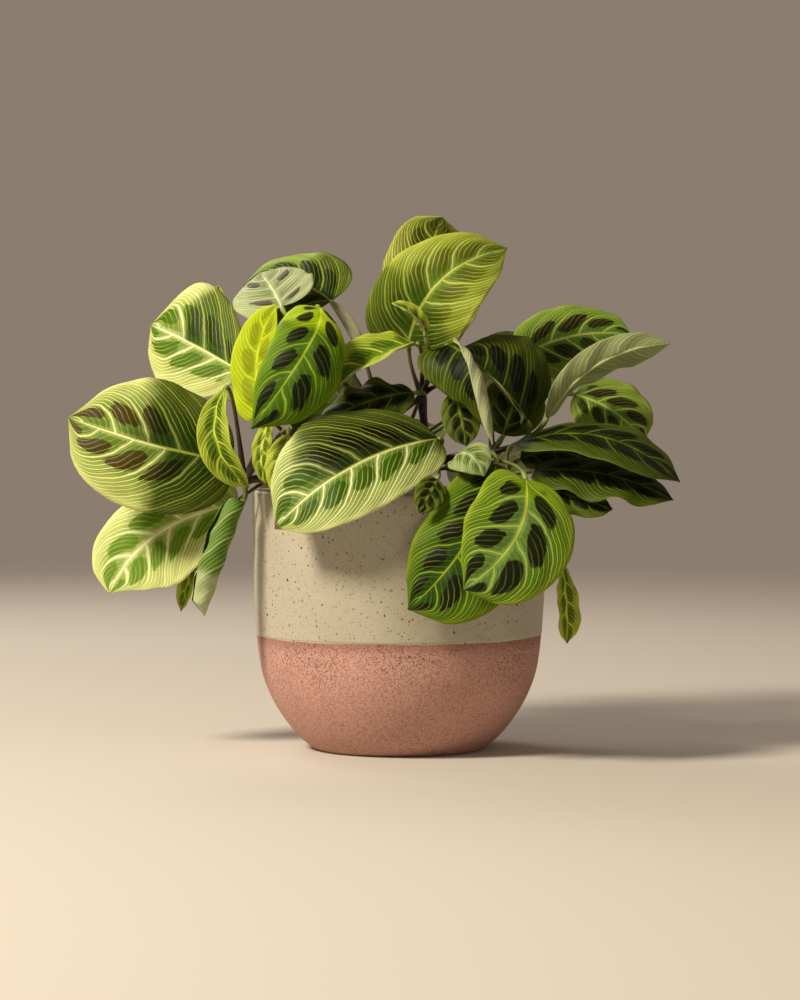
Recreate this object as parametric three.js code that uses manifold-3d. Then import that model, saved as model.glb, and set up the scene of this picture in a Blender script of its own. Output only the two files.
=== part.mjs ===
// Potted prayer plant in a two-tone round ceramic pot. Millimetres, +Z up.
// The origin is the centre of the pot's flat base; the best side of the plant faces -Y.
import * as THREE from "three";
import { mergeVertices } from "three/addons/utils/BufferGeometryUtils.js";
import Module from "manifold-3d";

const wasm = await Module();
wasm.setup();

// ---- driving dimensions ----
const GAP = 0.35; // clearance between two pieces that touch
const POT = {
  radius: 85,
  height: 150,
  wall: 5,
  rimRound: 1.6,
  floor: 7,
  floorRadius: 38,
  foot: 50,
  segments: 48,
};
const INSIDE_LEVELS = [13, 22, 34, 48, 66, 90, 120]; // heights where the inner wall follows the outer one
const SOIL_TOP = 128;
const STEM = { radius: 2.3, node: 3.1, collar: 9, sides: 7, step: 9 };
const PETIOLE = { radius: 1.15, sides: 6, step: 13 };
const BLADE = { thickness: 1.1, baseHalf: 1.5, tipHalf: 0.6 };
const ALONG = [0, 0.05, 0.15, 0.29, 0.43, 0.57, 0.7, 0.82, 0.92, 1]; // stations from base to tip
const ACROSS = [-1, -0.5, 0, 0.5, 1]; // from the left margin over the midrib to the right margin
const ACROSS_ROLLED = [-1, -0.75, -0.5, -0.25, 0, 0.25, 0.5, 0.75, 1];

const COLOURS = {
  pot: 0xd5c6b2,
  soil: 0x2e2119,
  shoot: 0x4a2b33,
  sage: 0x9db674,
  bright: 0x7fa23a,
  dark: 0x3f5f1c,
  lime: 0xaac22a,
};

// ---- the plant ----
// A shoot rises from the soil along `stem` and ends in a swollen node, where its petioles start.
const SHOOTS = {
  left_front: [[-50, -24, 0], [-64, -30, 150], [-79, -35, 157], [-88, -37, 156]],
  left_back: [[-32, 18, 0], [-40, 16, 150], [-50, 12, 168]],
  centre_left: [[-14, 4, 0], [-14, 2, 160], [-12, -2, 192]],
  crown: [[14, 8, 0], [16, 4, 165], [13, -4, 205]],
  right: [[42, 2, 0], [48, -4, 150], [54, -8, 172]],
  right_front: [[50, -30, 0], [56, -36, 145], [62, -40, 160]],
  front: [[12, -34, 0], [14, -38, 150], [18, -42, 166]],
  back: [[2, 46, 0], [2, 50, 150], [0, 54, 172]],
};

// A leaf blade, all lengths in millimetres and angles in degrees.
// rib: base, middle and tip of the midrib. face: where its upper side looks at mid-length.
// half: half-width. widest: where along the blade that is reached, from 0 to 1.
// fold: how far a half rises at the midrib. curl: how far it turns from there to the margin, up positive.
// lobe: how far the margin reaches back past the base. wave: height of the margin's ripple.
// twist: turn from base to tip. reach: how far the petiole follows the midrib's line, as a share.
// rolled: the blade curls from its very base into a tube, and takes more stations across.
// fullness: 1 is the usual oval, and less keeps a rolled blade's margin nearly straight.
// A pair of numbers is [left, right], seen from above with the tip ahead.
const LEAVES = [
  {
    name: "leaf_left_broad", shoot: "left_front", tone: "sage",
    rib: [[-95, -28, 167], [-141, -42, 177], [-188, -32, 192]],
    face: [-0.15, -1, 0.3],
    half: 39, fold: 10, curl: -26, lobe: 8,
  },
  {
    name: "leaf_left_low", shoot: "left_front", tone: "sage",
    rib: [[-92, -28, 143], [-140, -13, 124], [-166, -22, 91]],
    face: [-0.2, -0.9, 0.45],
    half: [34, 31], widest: [0.55, 0.5], fold: 8, curl: -20, lobe: 6,
  },
  {
    name: "leaf_left_hanging", shoot: "left_front", tone: "bright",
    rib: [[-98, -52, 208], [-102, -62, 179], [-84, -55, 153]],
    face: [-0.35, -1, 0.1],
    half: 11, widest: 0.6, fold: 28, curl: -10, lobe: 4, reach: 0.2,
  },
  {
    name: "leaf_left_upper", shoot: "left_back", tone: "sage",
    rib: [[-92, -12, 219], [-119, 8, 234], [-146, 30, 246]],
    face: [-0.45, -0.85, 0.35],
    half: [31, 37], widest: [0.5, 0.68], fold: 12, curl: -28, lobe: [6, 18],
  },
  {
    name: "leaf_left_bud", shoot: "left_back", tone: "lime",
    rib: [[-104, 44, 240], [-107, 46, 255], [-107, 44, 270]],
    face: [0, -1, 0.2],
    half: 9, fold: 30, curl: 30,
  },
  {
    name: "leaf_top_pale", shoot: "centre_left", tone: "sage",
    rib: [[-67, -24, 255], [-74, 5, 267], [-82, 35, 277]],
    face: [-0.35, -0.42, 0.85],
    half: 25, fold: 8, curl: -25, lobe: 8,
  },
  {
    name: "leaf_top_dark", shoot: "centre_left", tone: "dark",
    rib: [[-40, 22, 260], [-64, 42, 272], [-93, 56, 270]],
    face: [0, -0.8, 0.6],
    half: [31, 33], fold: 5, curl: -30, lobe: 4,
  },
  {
    name: "leaf_lime", shoot: "left_front", tone: "lime",
    rib: [[-78, -37, 194], [-80, -34, 228], [-69, -39, 256]],
    face: [-0.5, -0.85, 0.1],
    half: [17, 13], widest: 0.32, fold: 15, curl: -20, lobe: 6,
  },
  {
    name: "leaf_spotted", shoot: "centre_left", tone: "bright",
    rib: [[-46, -26, 255], [-49, -69, 234], [-82, -72, 186]],
    face: [0, -0.9, 0.45],
    half: [29, 22], widest: [0.72, 0.5], fold: 10, curl: [-80, -30], lobe: 5,
  },
  {
    name: "leaf_centre_long", shoot: "crown", tone: "bright",
    rib: [[10, -24, 234], [-14, -36, 225], [-40, -46, 206]],
    face: [-0.35, -0.5, 0.8],
    half: 19, fold: 35, curl: -20, reach: 0.15,
  },
  {
    name: "leaf_crown_back", shoot: "crown", tone: "bright",
    rib: [[19, 14, 236], [18, 30, 279], [25, 16, 309]],
    face: [-0.1, -0.95, 0.15],
    half: 29, widest: 0.42, fold: 6, curl: -28,
  },
  {
    name: "leaf_crown_front", shoot: "crown", tone: "lime",
    rib: [[6, -10, 236], [24, -32, 270], [62, -14, 289]],
    face: [0.1, -0.9, 0.45],
    half: [32, 31], widest: [0.2, 0.3], fold: 14, curl: -24, lobe: [24, 6],
  },
  {
    name: "leaf_crown_small", shoot: "crown", tone: "bright",
    rib: [[15, -46, 238], [8, -54, 249], [-4, -54, 256]],
    face: [0.2, -0.8, 0.5],
    half: 6, fold: 55, curl: 0,
  },
  {
    name: "leaf_crown_rolled", shoot: "crown", tone: "dark",
    rib: [[28, -36, 233], [45, -64, 217], [52, -76, 177]],
    face: [-0.45, -0.75, 0.5],
    half: [11, 26], widest: [0.5, 0.25], fold: [60, -5], curl: [100, -30],
    lobe: [0, 7], twist: 70, reach: 0.1,
  },
  {
    name: "leaf_right_inner", shoot: "right", tone: "dark",
    rib: [[73, -30, 190], [54, -40, 213], [32, -34, 230]],
    face: [0.3, -0.9, 0.35],
    half: [16, 40], widest: [0.5, 0.42], fold: [55, 5], curl: [10, -25], lobe: [3, 8],
  },
  {
    name: "leaf_right_upper", shoot: "right", tone: "dark",
    rib: [[74, 14, 229], [105, 24, 240], [137, 28, 240]],
    face: [0.1, -0.75, 0.65],
    half: [27, 32], fold: 6, curl: -25, lobe: 12,
  },
  {
    name: "leaf_right_twisted", shoot: "right", tone: "sage",
    rib: [[85, -26, 192], [113, -36, 222], [154, -32, 234]],
    face: [-0.3, 0.75, 0.6],
    half: [19, 12], fold: 15, curl: 20, twist: -50,
  },
  {
    name: "leaf_right_middle", shoot: "right", tone: "bright",
    rib: [[102, 0, 205], [124, -8, 195], [141, -12, 178]],
    face: [0.25, -0.8, 0.55],
    half: [26, 23], fold: 5, curl: -20, lobe: 3,
  },
  {
    name: "leaf_right_long", shoot: "right_front", tone: "dark",
    rib: [[66, -40, 177], [114, -56, 181], [157, -64, 156]],
    face: [0.15, -0.35, 0.93],
    half: [28, 32], widest: 0.52, fold: 8, curl: -20, lobe: 4,
  },
  {
    name: "leaf_right_low", shoot: "right_front", tone: "dark",
    rib: [[77, -46, 162], [116, -60, 160], [153, -66, 146]],
    face: [0.1, -0.45, 0.88],
    half: [26, 24], fold: 5, curl: -25, wave: 2, lobe: 8,
  },
  {
    name: "leaf_right_under", shoot: "right_front", tone: "dark",
    rib: [[81, -54, 153], [100, -66, 147], [119, -70, 141]],
    face: [0, -0.6, 0.8],
    half: 13, fold: 0, curl: -20,
  },
  {
    name: "leaf_front_low", shoot: "front", tone: "dark",
    rib: [[54, -72, 166], [37, -98, 124], [5, -96, 87]],
    face: [-0.1, -0.95, 0.3],
    half: [36, 28], widest: [0.58, 0.5], fold: 8, curl: -25, lobe: 6,
  },
  {
    name: "leaf_front_spotted", shoot: "front", tone: "bright",
    rib: [[70, -84, 158], [63, -118, 127], [35, -114, 99]],
    face: [0.1, -0.95, 0.3],
    half: [32, 30], fold: 8, curl: -25, lobe: [8, 32],
  },
  {
    name: "leaf_right_dropping", shoot: "right_front", tone: "bright",
    rib: [[91, -66, 112], [93, -70, 90], [94, -66, 66]],
    face: [0.4, -0.9, 0],
    half: 8, widest: 0.68, fold: 20, curl: 10, wave: 1,
  },
  {
    name: "leaf_front_broad", shoot: "front", tone: "bright",
    rib: [[22, -54, 180], [-26, -89, 165], [-68, -91, 131]],
    face: [-0.15, -0.85, 0.5],
    half: [31, 40], fold: 10, curl: -25, lobe: 5,
  },
  {
    name: "leaf_front_small", shoot: "front", tone: "sage",
    rib: [[29, -68, 167], [38, -83, 172], [47, -89, 160]],
    face: [-0.1, -0.8, 0.6],
    half: [13, 12], fold: 5, curl: -35,
  },
  {
    name: "leaf_left_inner", shoot: "left_front", tone: "bright",
    rib: [[-62, -58, 182], [-65, -66, 166], [-68, -64, 148]],
    face: [-0.1, -1, 0.1],
    half: 10, fold: 10, curl: -30,
  },
  {
    name: "leaf_left_narrow", shoot: "left_front", tone: "bright",
    rib: [[-73, -50, 190], [-77, -59, 173], [-75, -58, 155]],
    face: [-0.1, -1, 0.1],
    half: 5.5, fold: 12, curl: -25,
  },
  {
    name: "leaf_left_rolled", shoot: "left_front", tone: "sage",
    rib: [[-88, -42, 144], [-99, -47, 112], [-110, -46, 80]],
    face: [-0.9, -0.4, 0.1],
    half: 19, rolled: true, curl: 165, fullness: 0.3,
  },
  {
    name: "leaf_centre_wavy", shoot: "crown", tone: "dark",
    rib: [[8, -29, 206], [-17, -38, 201], [-46, -42, 188]],
    face: [-0.1, -0.7, 0.7],
    half: 17, fold: 10, curl: -30, wave: 3,
  },
  {
    name: "leaf_front_shaded", shoot: "front", tone: "dark",
    rib: [[21, -82, 158], [17, -93, 151], [11, -97, 140]],
    face: [0.2, -1, 0.2],
    half: [9, 8], fold: 10, curl: -20,
  },
  {
    name: "leaf_left_tip", shoot: "left_back", tone: "lime",
    rib: [[-117, -2, 112], [-122, -5, 97], [-126, -8, 80]],
    face: [-0.2, -1, 0],
    half: 6, fold: 30, curl: 0,
  },
  {
    name: "leaf_inner_shaded", shoot: "crown", tone: "dark",
    rib: [[32, -34, 206], [35, -44, 192], [38, -48, 176]],
    face: [0, -1, 0.3],
    half: 11, fold: 10, curl: -20,
  },
  {
    name: "leaf_right_shaded", shoot: "right", tone: "dark",
    rib: [[60, -10, 182], [66, -4, 199], [72, 2, 216]],
    face: [-0.1, -0.95, 0.2],
    half: 19, fold: 8, curl: -20,
  },
  {
    name: "leaf_right_deep", shoot: "right_front", tone: "dark",
    rib: [[70, -20, 168], [94, -26, 172], [120, -30, 160]],
    face: [0, -0.8, 0.6],
    half: 17, fold: 8, curl: -20,
  },
  {
    name: "leaf_left_shaded", shoot: "crown", tone: "dark",
    rib: [[-20, -16, 188], [-40, -24, 184], [-62, -28, 168]],
    face: [-0.1, -0.9, 0.4],
    half: 19, fold: 8, curl: -20, lobe: 4,
  },
  {
    name: "leaf_back_centre", shoot: "back", tone: "sage",
    rib: [[8, 74, 176], [6, 98, 190], [0, 118, 184]],
    face: [0, 0.7, 0.7],
    half: 24, fold: 8, curl: -20, lobe: 4,
  },
  {
    name: "leaf_back_lower_left", shoot: "back", tone: "bright",
    rib: [[-34, 66, 168], [-58, 88, 162], [-80, 96, 130]],
    face: [-0.4, 0.85, 0.4],
    half: 24, fold: 8, curl: -22, lobe: 5,
  },
  {
    name: "leaf_back_lower_right", shoot: "back", tone: "dark",
    rib: [[58, 58, 164], [82, 74, 172], [104, 76, 160]],
    face: [0.3, 0.7, 0.65],
    half: 20, fold: 8, curl: -20, lobe: 4,
  },
  {
    name: "leaf_back_upper_right", shoot: "back", tone: "sage",
    rib: [[42, 52, 200], [62, 66, 222], [80, 66, 238]],
    face: [0.2, 0.9, 0.35],
    half: 20, fold: 8, curl: -20, lobe: 5,
  },
  {
    name: "leaf_back_upper_left", shoot: "back", tone: "dark",
    rib: [[-30, 54, 198], [-48, 70, 222], [-60, 70, 246]],
    face: [-0.2, 0.9, 0.3],
    half: 18, fold: 8, curl: -20, lobe: 4,
  },
  {
    name: "leaf_back_tall", shoot: "back", tone: "bright",
    rib: [[22, 66, 240], [26, 86, 268], [32, 92, 298]],
    face: [0.1, 0.9, 0.4],
    half: 25, fold: 8, curl: -20, lobe: 6,
  },
  {
    name: "leaf_back_left", shoot: "back", tone: "sage",
    rib: [[-70, 60, 205], [-104, 80, 226], [-136, 84, 232]],
    face: [-0.2, 0.8, 0.6],
    half: 27, fold: 8, curl: -20, lobe: 6,
  },
  {
    name: "leaf_back_right", shoot: "back", tone: "bright",
    rib: [[58, 76, 212], [90, 92, 230], [122, 94, 234]],
    face: [0.2, 0.8, 0.6],
    half: 25, fold: 8, curl: -20, lobe: 6,
  },
  {
    name: "leaf_back_low", shoot: "back", tone: "bright",
    rib: [[-6, 92, 168], [-24, 116, 150], [-36, 122, 108]],
    face: [-0.1, 0.95, 0.35],
    half: 27, fold: 8, curl: -22, lobe: 6,
  },
  {
    name: "leaf_back_drooping", shoot: "back", tone: "sage",
    rib: [[36, 84, 166], [58, 102, 150], [72, 106, 112]],
    face: [0.4, 0.9, 0.3],
    half: 24, fold: 8, curl: -22, lobe: 6,
  },
];

// ---- helpers ----
const radians = THREE.MathUtils.degToRad;
const point = (values) => new THREE.Vector3(...values);
const pair = (value = 0) => (Array.isArray(value) ? value : [value, value]);

function paint(colour, roughness = 0.5) {
  return new THREE.MeshStandardMaterial({ color: colour, roughness, metalness: 0 });
}

function mesh(name, geometry, colour, roughness) {
  const made = new THREE.Mesh(geometry, paint(colour, roughness));
  made.name = name;
  return made;
}

function toSolid(geometry) {
  const bare = geometry.clone();
  bare.deleteAttribute("normal");
  bare.deleteAttribute("uv");
  const merged = mergeVertices(bare, 1e-3);
  return new wasm.Manifold(
    new wasm.Mesh({
      numProp: 3,
      vertProperties: new Float32Array(merged.attributes.position.array),
      triVerts: new Uint32Array(merged.index.array),
    }),
  );
}

function toGeometry(solid) {
  const data = solid.getMesh();
  const geometry = new THREE.BufferGeometry();
  geometry.setAttribute("position", new THREE.BufferAttribute(data.vertProperties, 3));
  geometry.setIndex(new THREE.BufferAttribute(data.triVerts, 1));
  return geometry;
}

// ---- the pot and its soil ----
// The outside of the pot: a flat foot, a round belly and a wall that is nearly upright to the rim.
function potOutside() {
  const { radius, height, foot } = POT;
  const curve = new THREE.CatmullRomCurve3([
    new THREE.Vector3(foot, 0, 0),
    new THREE.Vector3(60, 9, 0),
    new THREE.Vector3(68.5, 20, 0),
    new THREE.Vector3(74.8, 31, 0),
    new THREE.Vector3(81, 47, 0),
    new THREE.Vector3(radius - 2, 70, 0),
    new THREE.Vector3(radius - 0.4, 98, 0),
    new THREE.Vector3(radius, height - 2, 0),
  ]);
  return curve.getPoints(13).map((p) => new THREE.Vector2(p.x, p.y));
}

function insideRadius(outside, z) {
  const above = outside.findIndex((p) => p.y >= z);
  const [low, high] = [outside[above - 1], outside[above]];
  return THREE.MathUtils.mapLinear(z, low.y, high.y, low.x, high.x) - POT.wall;
}

function insideProfile(outside, offset) {
  const side = INSIDE_LEVELS.map((z) => new THREE.Vector2(insideRadius(outside, z) - offset, z));
  return [
    new THREE.Vector2(0, POT.floor + offset),
    new THREE.Vector2(POT.floorRadius, POT.floor + offset),
    ...side,
  ];
}

function turned(name, profile, colour, roughness) {
  const geometry = new THREE.LatheGeometry(profile, POT.segments);
  geometry.rotateX(Math.PI / 2);
  return mesh(name, geometry, colour, roughness);
}

function pot(outside) {
  const { height, rimRound, radius } = POT;
  const inside = insideProfile(outside, 0).reverse();
  const profile = [
    new THREE.Vector2(0, 0),
    ...outside,
    new THREE.Vector2(radius - rimRound / 2, height - rimRound / 5),
    new THREE.Vector2(radius - rimRound, height),
    new THREE.Vector2(radius - POT.wall + rimRound, height),
    new THREE.Vector2(radius - POT.wall, height - rimRound),
    ...inside,
  ];
  return turned("pot", profile, COLOURS.pot, 0.4);
}

function soil(outside) {
  const top = [
    new THREE.Vector2(insideRadius(outside, SOIL_TOP) - GAP, SOIL_TOP),
    new THREE.Vector2(0, SOIL_TOP),
  ];
  return turned("soil", [...insideProfile(outside, GAP), ...top], COLOURS.soil, 0.95);
}

// ---- leaf blades ----
// The midrib is the parabola through its three points. A parabola lies in a plane, so a frame that keeps
// its angle to that plane runs along it without turning.
function midrib({ rib, face, twist = 0 }) {
  const [base, middle, tip] = rib.map(point);
  const bend = base.clone().add(tip).sub(middle.clone().multiplyScalar(2)).multiplyScalar(2);
  const start = tip.clone().sub(base).sub(bend);
  const at = (t) => base.clone().addScaledVector(start, t).addScaledVector(bend, t * t);
  const tangent = (t) => start.clone().addScaledVector(bend, 2 * t).normalize();
  const ahead = tangent(0.5);
  const look = point(face).projectOnPlane(ahead).normalize();
  const binormal = start.clone().cross(bend);
  if (binormal.length() < 1) binormal.copy(ahead).cross(look);
  binormal.normalize();
  const inPlane = binormal.clone().cross(ahead);
  const lean = Math.atan2(look.dot(binormal), look.dot(inPlane));
  const frame = (t) => {
    const along = tangent(t);
    const angle = lean + radians(twist) * (t - 0.5);
    const up = binormal.clone().cross(along).multiplyScalar(Math.cos(angle));
    up.addScaledVector(binormal, Math.sin(angle));
    return { centre: at(t), along, up, side: along.clone().cross(up) };
  };
  return { at, frame };
}

// Half-width along the blade as a share of the widest: round at the base, drawn to a short point.
function outline(t, widest, fullness = 1) {
  const e = Math.pow(Math.min(t / 0.97, 1), Math.log(0.5) / Math.log(widest));
  const oval = Math.pow(4 * e * (1 - e), 0.46 * fullness);
  return oval * (1 - 0.12 * Math.pow(Math.max(t - 0.6, 0) / 0.4, 2));
}

// A point of the blade's middle surface: t from base to tip, u from the left to the right margin.
function bladePoint(leaf, frame, t, u) {
  const which = u < 0 ? 0 : 1;
  const share = Math.abs(u);
  const half = pair(leaf.half)[which];
  const narrow = t < 0.5 ? BLADE.baseHalf : BLADE.tipHalf;
  const widest = pair(leaf.widest ?? 0.5)[which];
  const width = Math.max(half * outline(t, widest, leaf.fullness), narrow);
  const opening = leaf.rolled ? 1 : Math.min(t / 0.15, 1);
  const fold = radians(pair(leaf.fold)[which]) * opening;
  const curl = radians(pair(leaf.curl)[which]) * share * opening;
  const chord = share * width * (Math.abs(curl) < 1e-3 ? 1 : Math.sin(curl / 2) / (curl / 2));
  const out = chord * Math.cos(fold + curl / 2);
  const ripple = Math.sin(2 * Math.PI * (3 * t + 0.3 * which)) * share ** 2 * Math.sin(Math.PI * t);
  const up = chord * Math.sin(fold + curl / 2) + (leaf.wave ?? 0) * ripple;
  const back = pair(leaf.lobe)[which] * share ** 1.3 * (1 - t) ** 4 * ((width - BLADE.baseHalf) / half);
  return frame.centre
    .clone()
    .addScaledVector(frame.side, Math.sign(u) * out)
    .addScaledVector(frame.up, up)
    .addScaledVector(frame.along, -back);
}

// A blade is one thin closed shell round that surface.
function blade(leaf) {
  const { frame } = midrib(leaf);
  const across = leaf.rolled ? ACROSS_ROLLED : ACROSS;
  const middle = ALONG.map((t) => {
    const here = frame(t);
    return across.map((u) => bladePoint(leaf, here, t, u));
  });
  const rows = ALONG.length;
  const columns = across.length;
  const near = (row, column) =>
    middle[THREE.MathUtils.clamp(row, 0, rows - 1)][THREE.MathUtils.clamp(column, 0, columns - 1)];
  const positions = [];
  for (const side of [1, -1]) {
    for (let row = 0; row < rows; row++) {
      for (let column = 0; column < columns; column++) {
        const alongRib = near(row + 1, column).clone().sub(near(row - 1, column));
        const overRib = near(row, column + 1).clone().sub(near(row, column - 1));
        const normal = overRib.cross(alongRib).normalize();
        const shifted = middle[row][column].clone().addScaledVector(normal, (side * BLADE.thickness) / 2);
        positions.push(...shifted.toArray());
      }
    }
  }
  const under = rows * columns;
  const index = (row, column) => row * columns + column;
  const triangles = [];
  const quad = (a, b, c, d) => triangles.push(a, b, c, a, c, d);
  for (let row = 0; row + 1 < rows; row++) {
    for (let column = 0; column + 1 < columns; column++) {
      const [a, b] = [index(row, column), index(row, column + 1)];
      const [c, d] = [index(row + 1, column + 1), index(row + 1, column)];
      quad(a, b, c, d);
      quad(under + a, under + d, under + c, under + b);
    }
  }
  const margin = [];
  for (let column = 0; column < columns; column++) margin.push(index(0, column));
  for (let row = 1; row < rows; row++) margin.push(index(row, columns - 1));
  for (let column = columns - 2; column >= 0; column--) margin.push(index(rows - 1, column));
  for (let row = rows - 2; row > 0; row--) margin.push(index(row, 0));
  margin.forEach((a, i) => {
    const b = margin[(i + 1) % margin.length];
    quad(a, under + a, under + b, b);
  });
  const geometry = new THREE.BufferGeometry();
  geometry.setAttribute("position", new THREE.Float32BufferAttribute(positions, 3));
  geometry.setIndex(triangles);
  return mesh(leaf.name, geometry, COLOURS[leaf.tone], 0.5);
}

// ---- shoots ----
function rod(curve, radius, sides, step) {
  const turn = (i) => (2 * Math.PI * i) / sides;
  const section = new THREE.Shape(
    Array.from({ length: sides }, (_, i) => {
      return new THREE.Vector2(radius * Math.cos(turn(i)), radius * Math.sin(turn(i)));
    }),
  );
  const steps = Math.max(3, Math.round(curve.getLength() / step));
  return toSolid(new THREE.ExtrudeGeometry(section, { steps, extrudePath: curve, bevelEnabled: false }));
}

// A petiole leaves the node and reaches the blade along the blade's own midrib.
function petiole(node, leaf) {
  const { frame } = midrib(leaf);
  const { centre, along } = frame(0);
  const end = centre.clone().addScaledVector(along, -GAP);
  const reach = node.distanceTo(end) * (leaf.reach ?? 0.45);
  const elbow = end.clone().addScaledVector(along, -reach);
  const curve = new THREE.QuadraticBezierCurve3(node, elbow, end);
  return rod(curve, PETIOLE.radius, PETIOLE.sides, PETIOLE.step);
}

function shoot(name, stem) {
  const [root, ...rest] = stem.map(point);
  root.z = SOIL_TOP + GAP;
  const collar = root.clone().setZ(root.z + STEM.collar);
  const curve = new THREE.CatmullRomCurve3([root, collar, ...rest]);
  const node = rest[rest.length - 1];
  const knot = new THREE.IcosahedronGeometry(STEM.node, 1);
  knot.translate(...node.toArray());
  let grown = rod(curve, STEM.radius, STEM.sides, STEM.step).add(toSolid(knot));
  for (const leaf of LEAVES.filter((each) => each.shoot === name)) grown = grown.add(petiole(node, leaf));
  return mesh("shoot_" + name, toGeometry(grown), COLOURS.shoot, 0.5);
}

// ---- assembly ----
const plant = new THREE.Group();
plant.name = "potted_prayer_plant";
const outside = potOutside();
plant.add(pot(outside), soil(outside));
for (const [name, stem] of Object.entries(SHOOTS)) plant.add(shoot(name, stem));
for (const leaf of LEAVES) plant.add(blade(leaf));

export default plant;
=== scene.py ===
"""Potted prayer plant: a two-tone ceramic pot, potting mix, stems and patterned leaf blades.

The plant's own measures are in millimetres and MM turns them into metres. The stage and the settings
are in metres. +Z is up, the origin is the centre of the pot's flat base, and the fullest side of the
plant faces -Y.
"""
import math
from dataclasses import dataclass, replace

import bmesh
import bpy
import numpy as np
from mathutils import Matrix, Vector, noise


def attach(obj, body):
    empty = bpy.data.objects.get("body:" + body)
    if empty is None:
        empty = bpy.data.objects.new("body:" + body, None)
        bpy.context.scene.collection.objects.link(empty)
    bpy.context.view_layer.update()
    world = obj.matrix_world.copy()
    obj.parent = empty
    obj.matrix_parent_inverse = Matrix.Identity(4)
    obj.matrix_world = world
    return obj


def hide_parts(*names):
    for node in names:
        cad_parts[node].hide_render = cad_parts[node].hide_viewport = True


bl_info = {
    "name": "Potted prayer plant",
    "version": (1, 0, 0),
    "blender": (4, 5, 0),
    "location": "View3D > Sidebar > Prayer plant",
    "description": "Builds a prayer plant in a two-tone ceramic pot",
    "category": "Object",
}

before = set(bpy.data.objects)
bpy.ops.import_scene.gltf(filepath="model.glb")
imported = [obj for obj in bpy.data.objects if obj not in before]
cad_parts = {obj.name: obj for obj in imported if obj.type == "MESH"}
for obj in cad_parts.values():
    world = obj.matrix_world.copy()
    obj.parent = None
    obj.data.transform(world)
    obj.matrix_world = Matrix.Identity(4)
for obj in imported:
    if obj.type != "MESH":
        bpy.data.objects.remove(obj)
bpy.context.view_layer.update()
MM = 0.001
BODY = "root"

# ---- the pot ----
# Radius and height of its side, from the foot to the rim.
POT_SIDE = (
    (50, 0), (60, 9), (68.5, 20), (74.8, 31), (79.4, 43), (82, 57), (83.4, 75), (84.6, 98), (85, 148),
)
POT_SIDE_STEPS = 120
POT_HEIGHT = 150
POT_WALL = 5
POT_FLOOR = 7
POT_FLOOR_RADIUS = 38
POT_HOLLOW_START = 13  # from here up the inside keeps the wall's thickness
POT_SEGMENTS = 192
POT_CREASE = 50  # degrees from which an edge is drawn sharp
FOOT_ROUND = 1.2
RIM_ROUND = 2.1
RIM_STEPS = 8
GLAZE_STEP = 0.35  # how far the glaze stands proud of the bare clay
GLAZE_SOFTNESS = 0.35  # how gently it thins out at its edge
GLAZE_EDGE = 1.2  # how far either side of its edge the profile is drawn finely
GLAZE_EDGE_ROWS = 13

# ---- the soil ----
SOIL_TOP = 128
SOIL_GAP = 0.35
SOIL_ROWS = (90, 100, 110, 118, 123)  # heights of the rows of its side; the pot hides what is lower
SOIL_RINGS = 44
SOIL_SEGMENTS = 144
SOIL_LUMPS = ((1.5, 14), (1.0, 5), (0.5, 2))  # how high and how wide
SOIL_SINK = 0.6  # how far the lumps' mean level lies below the top
SOIL_EDGE = 0.93  # beyond this share of its radius the soil drops to the wall
SOIL_EDGE_DROP = 1.2
SOIL_BITS = 420
SOIL_SEED = 7
BIT_REACH = 0.97  # the share of the soil's radius that the bits cover
BIT_SIZE = 0.7
BIT_GROWTH = 2.2  # how much larger than BIT_SIZE the largest bit is

# ---- the shoots ----
# A shoot rises from the soil and ends in a swollen node, where its petioles start.
SHOOTS = {
    "left_front": ((-50, -24, 0), (-64, -30, 150), (-79, -35, 157), (-88, -37, 156)),
    "left_back": ((-32, 18, 0), (-40, 16, 150), (-50, 12, 168)),
    "centre_left": ((-14, 4, 0), (-14, 2, 160), (-12, -2, 192)),
    "crown": ((14, 8, 0), (16, 4, 165), (13, -4, 205)),
    "right": ((42, 2, 0), (48, -4, 150), (54, -8, 172)),
    "right_front": ((50, -30, 0), (56, -36, 145), (62, -40, 160)),
    "front": ((12, -34, 0), (14, -38, 150), (18, -42, 166)),
    "back": ((2, 46, 0), (2, 50, 150), (0, 54, 172)),
}
STEM_RADIUS = 2.3
STEM_SWELLINGS = (
    # how much thicker it is, where between foot and tip, and how far that reaches
    (0.9, 0, 0.12),  # at the soil
    (0.8, 0.98, 0.05),  # the node
    (0.35, 0.5, 0.02),  # a ring halfway up
)
STEM_COLLAR = 9  # how far it rises straight out of the soil
STEM_BURIED = 3
STEM_STEPS = 70
PETIOLE_RADIUS = 1.1
PETIOLE_FLARE = 1.9  # where it clasps the node
PETIOLE_FLARE_REACH = 0.18
PETIOLE_STEPS = 40
PULVINUS_RADIUS = 1.55  # the swollen joint under the blade
PULVINUS_LENGTH = 7
PULVINUS_PLACE = 5  # from its middle to the blade's base
SHEATH_FLATNESS = 0.4
TUBE_SIDES = 14

# ---- the blades ----
BLADE_UV = "blade"
BLADE_BASE_HALF = 1.5
BLADE_TIP_HALF = 0.6
BLADE_ROWS = 73
BLADE_COLUMNS = 39
BLADE_CROWDING = 1.35  # above 1 the columns crowd towards the midrib
END_CROWDING = 0.45  # above 0 the rows crowd towards base and tip
OVAL_END = 0.97  # where a blade's oval would close
OVAL_ROUNDNESS = 0.46  # 0.5 is an ellipse, less is blunter
TIP_START = 0.9  # from here a blade draws straight to its point
SLIMMING_START = 0.6  # from here the oval slims towards the tip
TIP_SLIMMING = 0.12
FOLD_START = 0.15  # a blade leaves its petiole flat and is fully folded from here
RIPPLES = 3
RIPPLE_OFFSET = 0.3  # the share of a ripple by which the right margin is ahead of the left
QUILT_START = 0.12  # the share of the half-width where the quilting is fullest
FLUTTER_WAVES = ((1, 8), (0.6, 17), (0.35, 31))  # how high, and radians from base to tip
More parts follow.
